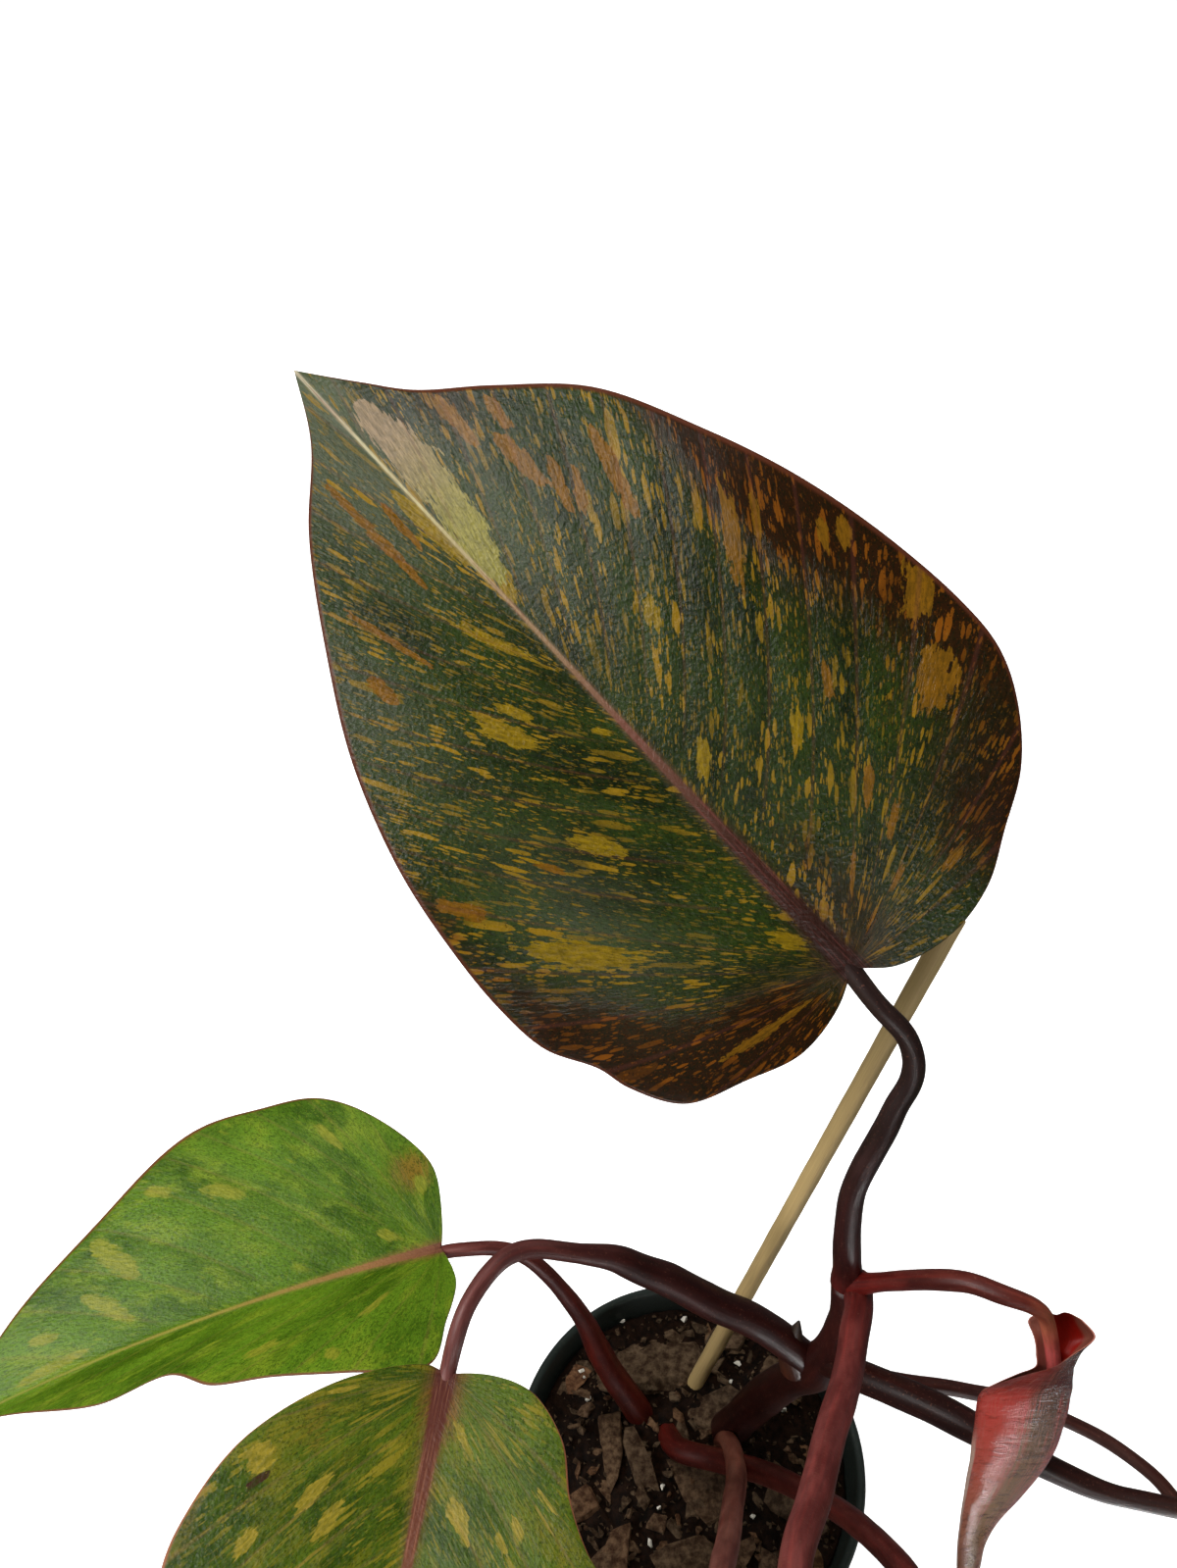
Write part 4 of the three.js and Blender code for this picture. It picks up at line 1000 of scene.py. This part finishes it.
def roll_outside():
    """Red, with an olive band that goes round to the left as the leaf narrows, and a painted highlight
    in cream along its lower left edge.
    """
    shader = Shader("rolled_leaf_outside", 0.17, specular=0.8)
    roll = shader.attribute("roll", "Vector")
    t, across, _ = roll.split()
    lines = shader.noise(roll.stretched((5, 16, 16)), 1.0, 4, 0.65)
    fine = shader.noise(roll.stretched((14, 50, 50)), 1.0, 4, 0.65)
    folds = shader.noise(roll.stretched((75, 1.6, 1.6)), 1.0, 5, 0.65, distortion=1.2)
    place = across.distance(t.scaled(-0.7, 0.85))
    place = place + lines.scaled(1.1, -0.55) + fine.scaled(0.8, -0.4)
    red = shader.ramp(t, [(0, (120, 38, 30)), (.36, (112, 32, 26)), (.45, (190, 56, 44)),
                          (.6, (184, 70, 54)), (.8, (178, 112, 84)), (1, (160, 104, 76))])
    olive = shader.ramp(t, [(0, (96, 34, 26)), (.36, (92, 32, 22)), (.5, (112, 70, 40)),
                            (.75, (140, 100, 54)), (1, (158, 112, 70))])
    base = shader.mix(place.smooth(0.55, 0.15), red, olive)
    base = shader.mix(fine.smooth(0.5, 0.7) * 0.5, base, srgb(172, 100, 82))
    # Dark lines along the wrinkles: painted shade in the creases
    base = shader.mix(folds.smooth(0.50, 0.64) * 0.45, base, srgb(70, 22, 14))
    base = shader.mix(shader.attribute("margin").smooth(0.5, 0.1) * 0.6, base, srgb(176, 110, 92))
    # Painted highlight: a cream streak along the lower left edge
    edge_highlight_paint = (across + lines.scaled(0.16, -0.08)).smooth(-0.84, -0.94) * t.smooth(0.5, 0.6)
    shader.colour(shader.mix(edge_highlight_paint, base, srgb(226, 190, 172)))
    shader.bump(fine * 0.5 + folds, 0.0009, 0.9)
    return shader.material


def roll_inside():
    """Deep red, and duller away from the middle, with painted light on the left flap."""
    shader = Shader("rolled_leaf_inside", 0.4, specular=0.3)
    roll = shader.attribute("roll", "Vector")
    _, across, _ = roll.split()
    lines = shader.noise(roll.stretched((4, 26, 26)), 1.0, 3, 0.6)
    red = shader.mix(lines, srgb(150, 18, 6), srgb(92, 12, 4))
    dusk = shader.mix(lines, srgb(128, 74, 60), srgb(96, 52, 42))
    # The left flap's inner face is painted lighter: painted light, where the lamps leave it in shade
    dusk = shader.mix(across.smooth(-0.1, -0.3), dusk, srgb(196, 132, 114))
    shader.colour(shader.mix(across.distance(0.22).smooth(0.38, 0.56), red, dusk))
    shader.bump(lines, 0.0002, 0.4)
    return shader.material


rolled_leaf([roll_outside(), roll_inside(), leaf_edge("rolled_leaf_rim", srgb(186, 110, 92))])


# Pot, stake and potting mix

# The pot's outline, from the middle of its underside round to the middle of its floor: radius
# and height in millimetres
POT_PROFILE = [(0, 0), (36.5, 0), (38, 1.5), (50.4, 84), (53.2, 84.8), (54, 86.5), (54, 93.5),
               (53, 95), (51.6, 94.6), (50.8, 92), (48.9, 84), (36.82, 2.2), (0, 2.2)]
DRAIN_RING = 27
DRAIN_RADIUS = 3.5
DRAIN_SIDES = 32
POT_SIDES = 160
STAKE_FOOT = (-8.5, 18.5, 40)
STAKE_TOP = (57, 50, 281)
STAKE_RADIUS = 2.7


def drill(piece, places):
    """Cuts an upright round hole through the low part of the piece at each place."""
    points, faces = [], []
    for x, y in places:
        first = len(points)
        for z in (-2, 5):
            points += [(x + DRAIN_RADIUS * math.cos(angle), y + DRAIN_RADIUS * math.sin(angle), z)
                       for angle in circle(DRAIN_SIDES)]
        ends = [range(DRAIN_SIDES)[::-1], range(DRAIN_SIDES, 2 * DRAIN_SIDES)]
        faces += [[first + corner for corner in face]
                  for face in ring_faces(2, DRAIN_SIDES) + ends]
    tool = make_mesh("drill", points, faces, [])
    cutting = piece.modifiers.new("holes", "BOOLEAN")
    cutting.operation = "DIFFERENCE"
    cutting.solver = "EXACT"
    cutting.object = tool
    whole = piece.evaluated_get(bpy.context.evaluated_depsgraph_get())
    drilled = bpy.data.meshes.new_from_object(whole)
    piece.modifiers.clear()
    piece.data = drilled
    bpy.data.objects.remove(tool)


def pot_piece():
    """The pot's wall and floor turned from its outline, with a ring every 3 mm or more."""
    profile = []
    for (r0, z0), (r1, z1) in zip(POT_PROFILE, POT_PROFILE[1:]):
        count = max(2, int(math.hypot(r1 - r0, z1 - z0) / 3))
        profile += [(r0 + (r1 - r0) * k / count, z0 + (z1 - z0) * k / count) for k in range(count)]
    radius, height = np.array(profile[1:]).T[..., None]
    turn = circle(POT_SIDES)
    rings = np.stack([radius * np.cos(turn), radius * np.sin(turn), height + 0 * turn], 2)
    points, faces = closed_rings(rings, (0, 0, 0), (0, 0, POT_PROFILE[-1][1]))
    shader = Shader("pot_plastic", 0.42, specular=0.45)
    where = shader.position()
    smear = shader.noise(where.stretched((30, 30, 8)), 1.0, 5, 0.65)
    grit = shader.noise(where, 900, 3, 0.6)
    base = shader.mix(smear, srgb(24, 30, 28), srgb(42, 50, 46))
    shader.colour(shader.mix(grit.smooth(0.6, 0.72) * 0.35, base, srgb(96, 92, 78)))
    shader.rough(smear.scaled(0.3, 0.3))
    shader.bump(grit + smear, 0.00015, 0.5)
    piece = make_mesh("nursery_pot", points, faces, [shader.material])
    merge_close(piece)
    drill(piece, [(DRAIN_RING * math.cos(angle), DRAIN_RING * math.sin(angle))
                  for angle in circle(6)])
    dress(piece, "pot_plastic", "pot")


def stake_piece():
    shader = Shader("bamboo", 0.6, specular=0.3)
    way = shader.attribute("way", "Vector")
    fibre = shader.noise(way.stretched((0.04, 9, 9)), 1.0, 5, 0.65)
    stain = shader.noise(way.stretched((0.03, 1, 1)), 1.0, 3, 0.6)
    base = shader.mix(fibre, srgb(208, 182, 126), srgb(164, 136, 88))
    shader.colour(shader.mix(stain.smooth(0.5, 0.75) * 0.4, base, srgb(120, 98, 64)))
    shader.bump(fibre, 0.0002, 0.7)
    stalk_piece("bamboo_stake", np.linspace(STAKE_FOOT, STAKE_TOP, 5), [STAKE_RADIUS] * 2,
                [(0, (210, 190, 140)), (1, (196, 172, 120))], 120, 24, "bamboo", shader.material,
                "stake")


pot_piece()
stake_piece()

# The mix: its lower rings up the pot's wall as radius and height, the reach of its top, and
# the number of rings and sides of the top
SOIL_WALL = ((36.4, 2.6), (42.5, 44.0))
SOIL_REACH = 49.0
SOIL_RINGS = 71
SOIL_SIDES = 180

draw = np.random.default_rng(11)


def soil_height(x, y):
    """How high the mix stands at a place: hollows, clumps and crumbs."""
    z = 86.2 + 1.2 * noise.noise(Vector((x / 22, y / 22, 1)))
    z += 1.3 * noise.fractal(Vector((x / 7, y / 7, 5)), 0.7, 2.1, 4)
    return z + 0.35 * noise.noise(Vector((x / 1.1, y / 1.1, 3)))


def mix_material(name, dark, light, fibre_stretch, roughness=0.9):
    """Crumbs in two shades over the piece's own tint."""
    shader = Shader(name, roughness, specular=0.25)
    where = shader.position()
    crumbs = shader.noise(where, 420, 6, 0.7)
    base = shader.mix(crumbs.smooth(0.35, 0.7), dark, light)
    shader.colour(shader.mix(0.75, base, shader.attribute("tint", "Color"), "MULTIPLY"))
    grain = shader.noise(where.stretched(fibre_stretch), 1.0, 5, 0.7)
    shader.bump(crumbs + grain, 0.0006, 0.8)
    return shader.material


def soil_piece():
    """The mix: two rings up the pot's wall, and a bumpy top in rings to its middle."""
    turn = circle(SOIL_SIDES)
    body = [[(r * math.cos(a), r * math.sin(a), z) for a in turn] for r, z in SOIL_WALL]
    for k in range(SOIL_RINGS, 0, -1):
        reach = SOIL_REACH * k / SOIL_RINGS
        sunk = 0.5 if k == SOIL_RINGS else 0
        body.append([(x, y, soil_height(x, y) - sunk)
                     for x, y in zip(reach * np.cos(turn), reach * np.sin(turn))])
    points, faces = closed_rings(np.array(body), (0, 0, SOIL_WALL[0][1]), (0, 0, soil_height(0, 0)))
    # The mix's own dark brown, made darker still: painted shade, for the shade inside the pot
    ground = mix_material("mix_ground", srgb(8, 4, 2), srgb(34, 19, 10), (300, 300, 300))
    piece = make_mesh("potting_mix", points, faces, [ground], {"tint": np.ones((len(points), 4))})
    merge_close(piece)
    dress(piece, "potting_mix", "soil")


soil_piece()


def shard(long, wide, thick, points):
    """The hull of points thrown into a flat box: an angular chip. Returns points and faces."""
    work = bmesh.new()
    cloud = draw.uniform(-1, 1, (points, 3))
    cloud *= (0.8 + 0.2 * draw.random((points, 1)))
    for p in cloud * (long / 2, wide / 2, thick / 2):
        work.verts.new(p)
    hull = bmesh.ops.convex_hull(work, input=work.verts)
    spare = [v for v in hull["geom_interior"] if isinstance(v, bmesh.types.BMVert)]
    bmesh.ops.delete(work, geom=spare, context="VERTS")
    work.verts.ensure_lookup_table()
    work.verts.index_update()
    where = np.array([v.co[:] for v in work.verts])
    faces = [[v.index for v in f.verts] for f in work.faces]
    work.free()
    return where, faces


def scatter(name, items, material):
    """Many flat-faced chips as one piece: (points, faces, place, turns, colour) each."""
    points, faces, tints = [], [], []
    count = 0
    for where, sides, place, turns, colour in items:
        moved = where @ np.array(Euler(turns).to_matrix()).T + np.array(place)
        points.append(moved)
        faces += [[i + count for i in f] for f in sides]
        tints.append(np.tile((*colour, 1), (len(moved), 1)))
        count += len(moved)
    piece = make_mesh(name, np.vstack(points), faces, [material], {"tint": np.vstack(tints)})
    piece.data.polygons.foreach_set("use_smooth", np.zeros(len(piece.data.polygons), bool))
    dress(piece, "potting_mix")


def on_soil(x, y, lift):
    return (x, y, soil_height(x, y) + lift)


def anywhere(reach):
    """A place drawn evenly over a round patch."""
    angle = draw.uniform(0, 2 * math.pi)
    far = reach * math.sqrt(draw.random())
    return far * math.cos(angle), far * math.sin(angle)


# The chips and crumbs are partly darkened too: painted shade, for the shade inside the pot
BARK = mix_material("bark", srgb(84, 60, 40), srgb(178, 152, 120), (120, 700, 120), 0.85)
GRIT = Shader("perlite", 0.8, specular=0.3)
GRIT.colour(GRIT.mix(GRIT.noise(GRIT.position(), 900, 4), srgb(205, 198, 180), srgb(240, 236, 226)))
GRIT.bump(GRIT.noise(GRIT.position(), 1600, 3), 0.0004, 0.8)

# Large chips: place, length, width, thickness, turn and colour
BIG_CHIPS = [
    ((-8, 33), 42, 23, 5, .1, (58, 36, 20)), ((-36.7, 26.9), 11, 7, 3, .9, (150, 96, 52)),
    ((-23.5, 2.8), 24, 9, 4, -1.4, (96, 66, 40)), ((-15, 0), 20, 7, 4, -1.2, (70, 44, 28)),
    ((-22.4, -24.3), 18, 9, 4, 1.2, (110, 72, 44)), ((-34.2, -12.5), 12, 8, 3, .4, (124, 82, 48)),
    ((4.2, -7.1), 24, 14, 4, -.9, (84, 52, 34)), ((-2.2, -26.9), 20, 11, 4, .3, (74, 48, 32)),
    ((10.9, -26.9), 18, 10, 4, 1.0, (96, 62, 40)), ((42, 2.8), 15, 6, 3, 1.5, (120, 86, 54)),
    ((44, -7.1), 13, 6, 3, 1.7, (140, 104, 64)), ((38.5, -26.9), 16, 8, 3, 2.2, (150, 118, 60)),
    ((33, 24), 18, 10, 4, 2.4, (70, 44, 30)), ((24, -32), 17, 9, 4, 2.2, (88, 58, 38)),
    ((10, 18), 20, 12, 4, .6, (66, 42, 28)), ((30, -12), 16, 9, 4, -.5, (60, 38, 26)),
    ((-30, -32), 18, 11, 4, .7, (92, 60, 40)), ((18, 40), 16, 9, 4, .2, (72, 46, 30)),
]
# Places of the white grains that the photo shows
PERLITE = [(-32.5, 25.3), (-31.2, 19.1), (-27.1, 44.6), (-19.4, 44.6), (1.9, 45.6), (18.4, 30.1),
           (15.6, 24.4), (30.6, 37.2), (-15.3, -2.0), (-9.4, -13.0), (-12.7, -22.3)]

# How far from the pot's middle a chip's end or a crumb may lie
CHIP_REACH = 47.5

chips = []
for (x, y), long, wide, thick, turn, colour in BIG_CHIPS:
    where, sides = shard(long * 1.15, wide * 1.15, thick, 22)
    # The chip moves inward where it would pass through the pot's wall
    pull = min(1.0, (CHIP_REACH - 0.35 * long) / math.hypot(x, y))
    chips.append((where, sides, on_soil(x * pull, y * pull, 0.8),
                  (draw.uniform(-.15, .15), draw.uniform(-.12, .12), turn), srgb(*colour)))
for _ in range(170):
    x, y = anywhere(46)
    long = draw.uniform(3, 10)
    where, sides = shard(long, long * draw.uniform(.35, .75), draw.uniform(1.2, 3), 12)
    shade = draw.uniform(0.45, 1.15)
    colour = ((92, 60, 40), (64, 42, 28), (128, 88, 54))[draw.integers(3)]
    chips.append((where, sides, on_soil(x, y, 0.2),
                  (draw.uniform(-.5, .5), draw.uniform(-.5, .5), draw.uniform(0, 6.3)),
                  srgb(*dim(colour, shade))))
scatter("bark_chips", chips, BARK)

crumbs = []
for _ in range(900):
    x, y = anywhere(CHIP_REACH)
    size = draw.uniform(0.7, 2.2)
    where, sides = shard(size * 1.3, size, size * .8, 8)
    shade = draw.uniform(18, 74)
    crumbs.append((where, sides, on_soil(x, y, 0.25), tuple(draw.uniform(0, 6.3, 3)),
                   srgb(shade, shade * .66, shade * .48)))
scatter("soil_crumbs", crumbs, BARK)

grit = []
for x, y in PERLITE + [tuple(draw.uniform(-34, 34, 2)) for _ in range(8)]:
    size = draw.uniform(1.5, 2.9)
    where, sides = shard(size, size * .9, size * .8, 18)
    grit.append((where, sides, on_soil(x, y, 0.9), tuple(draw.uniform(0, 6.3, 3)), (1, 1, 1)))
scatter("perlite_grains", grit, GRIT.material)


# Floor

DOME_RADIUS = 9000


def floor_piece():
    """A wide floor under a pale dome."""
    sides, rings = 64, 16
    turn = np.tile(circle(sides), rings)
    lift = np.repeat(np.arange(rings) * np.pi / 2 / rings, sides)
    dome = DOME_RADIUS * np.stack([np.cos(lift) * np.cos(turn), np.cos(lift) * np.sin(turn),
                                   np.sin(lift)], -1)
    top = rings * sides
    faces = [tuple(range(sides))] + ring_faces(rings, sides)
    faces += [(top - sides + k, top - sides + (k + 1) % sides, top) for k in range(sides)]
    shader = Shader("floor", 0.9, specular=0.1)
    shader.surface.inputs["Emission Color"].default_value = (1, 1, 1, 1)
    # The lamps do not reach the far floor, so it glows the more the farther it is
    away = shader.nodes.new("ShaderNodeVectorMath")
    away.operation = "LENGTH"
    shader.put(shader.position(), away.inputs[0])
    glow = Value(shader, away.outputs["Value"]).smooth(0.4, 2.5)
    shader.put(glow.scaled(0.28, 0.75), shader.surface.inputs["Emission Strength"])
    cloud = shader.noise(shader.position(), 3)
    shader.colour(shader.mix(cloud, (0.93, 0.93, 0.93), (0.96, 0.96, 0.96)))
    piece = make_mesh("floor", np.vstack([dome, (0, 0, DOME_RADIUS)]), faces, [shader.material])
    # A white floor would light the plant from below, so it is only seen and takes shadows
    piece.visible_diffuse = False
    piece.visible_glossy = False


floor_piece()
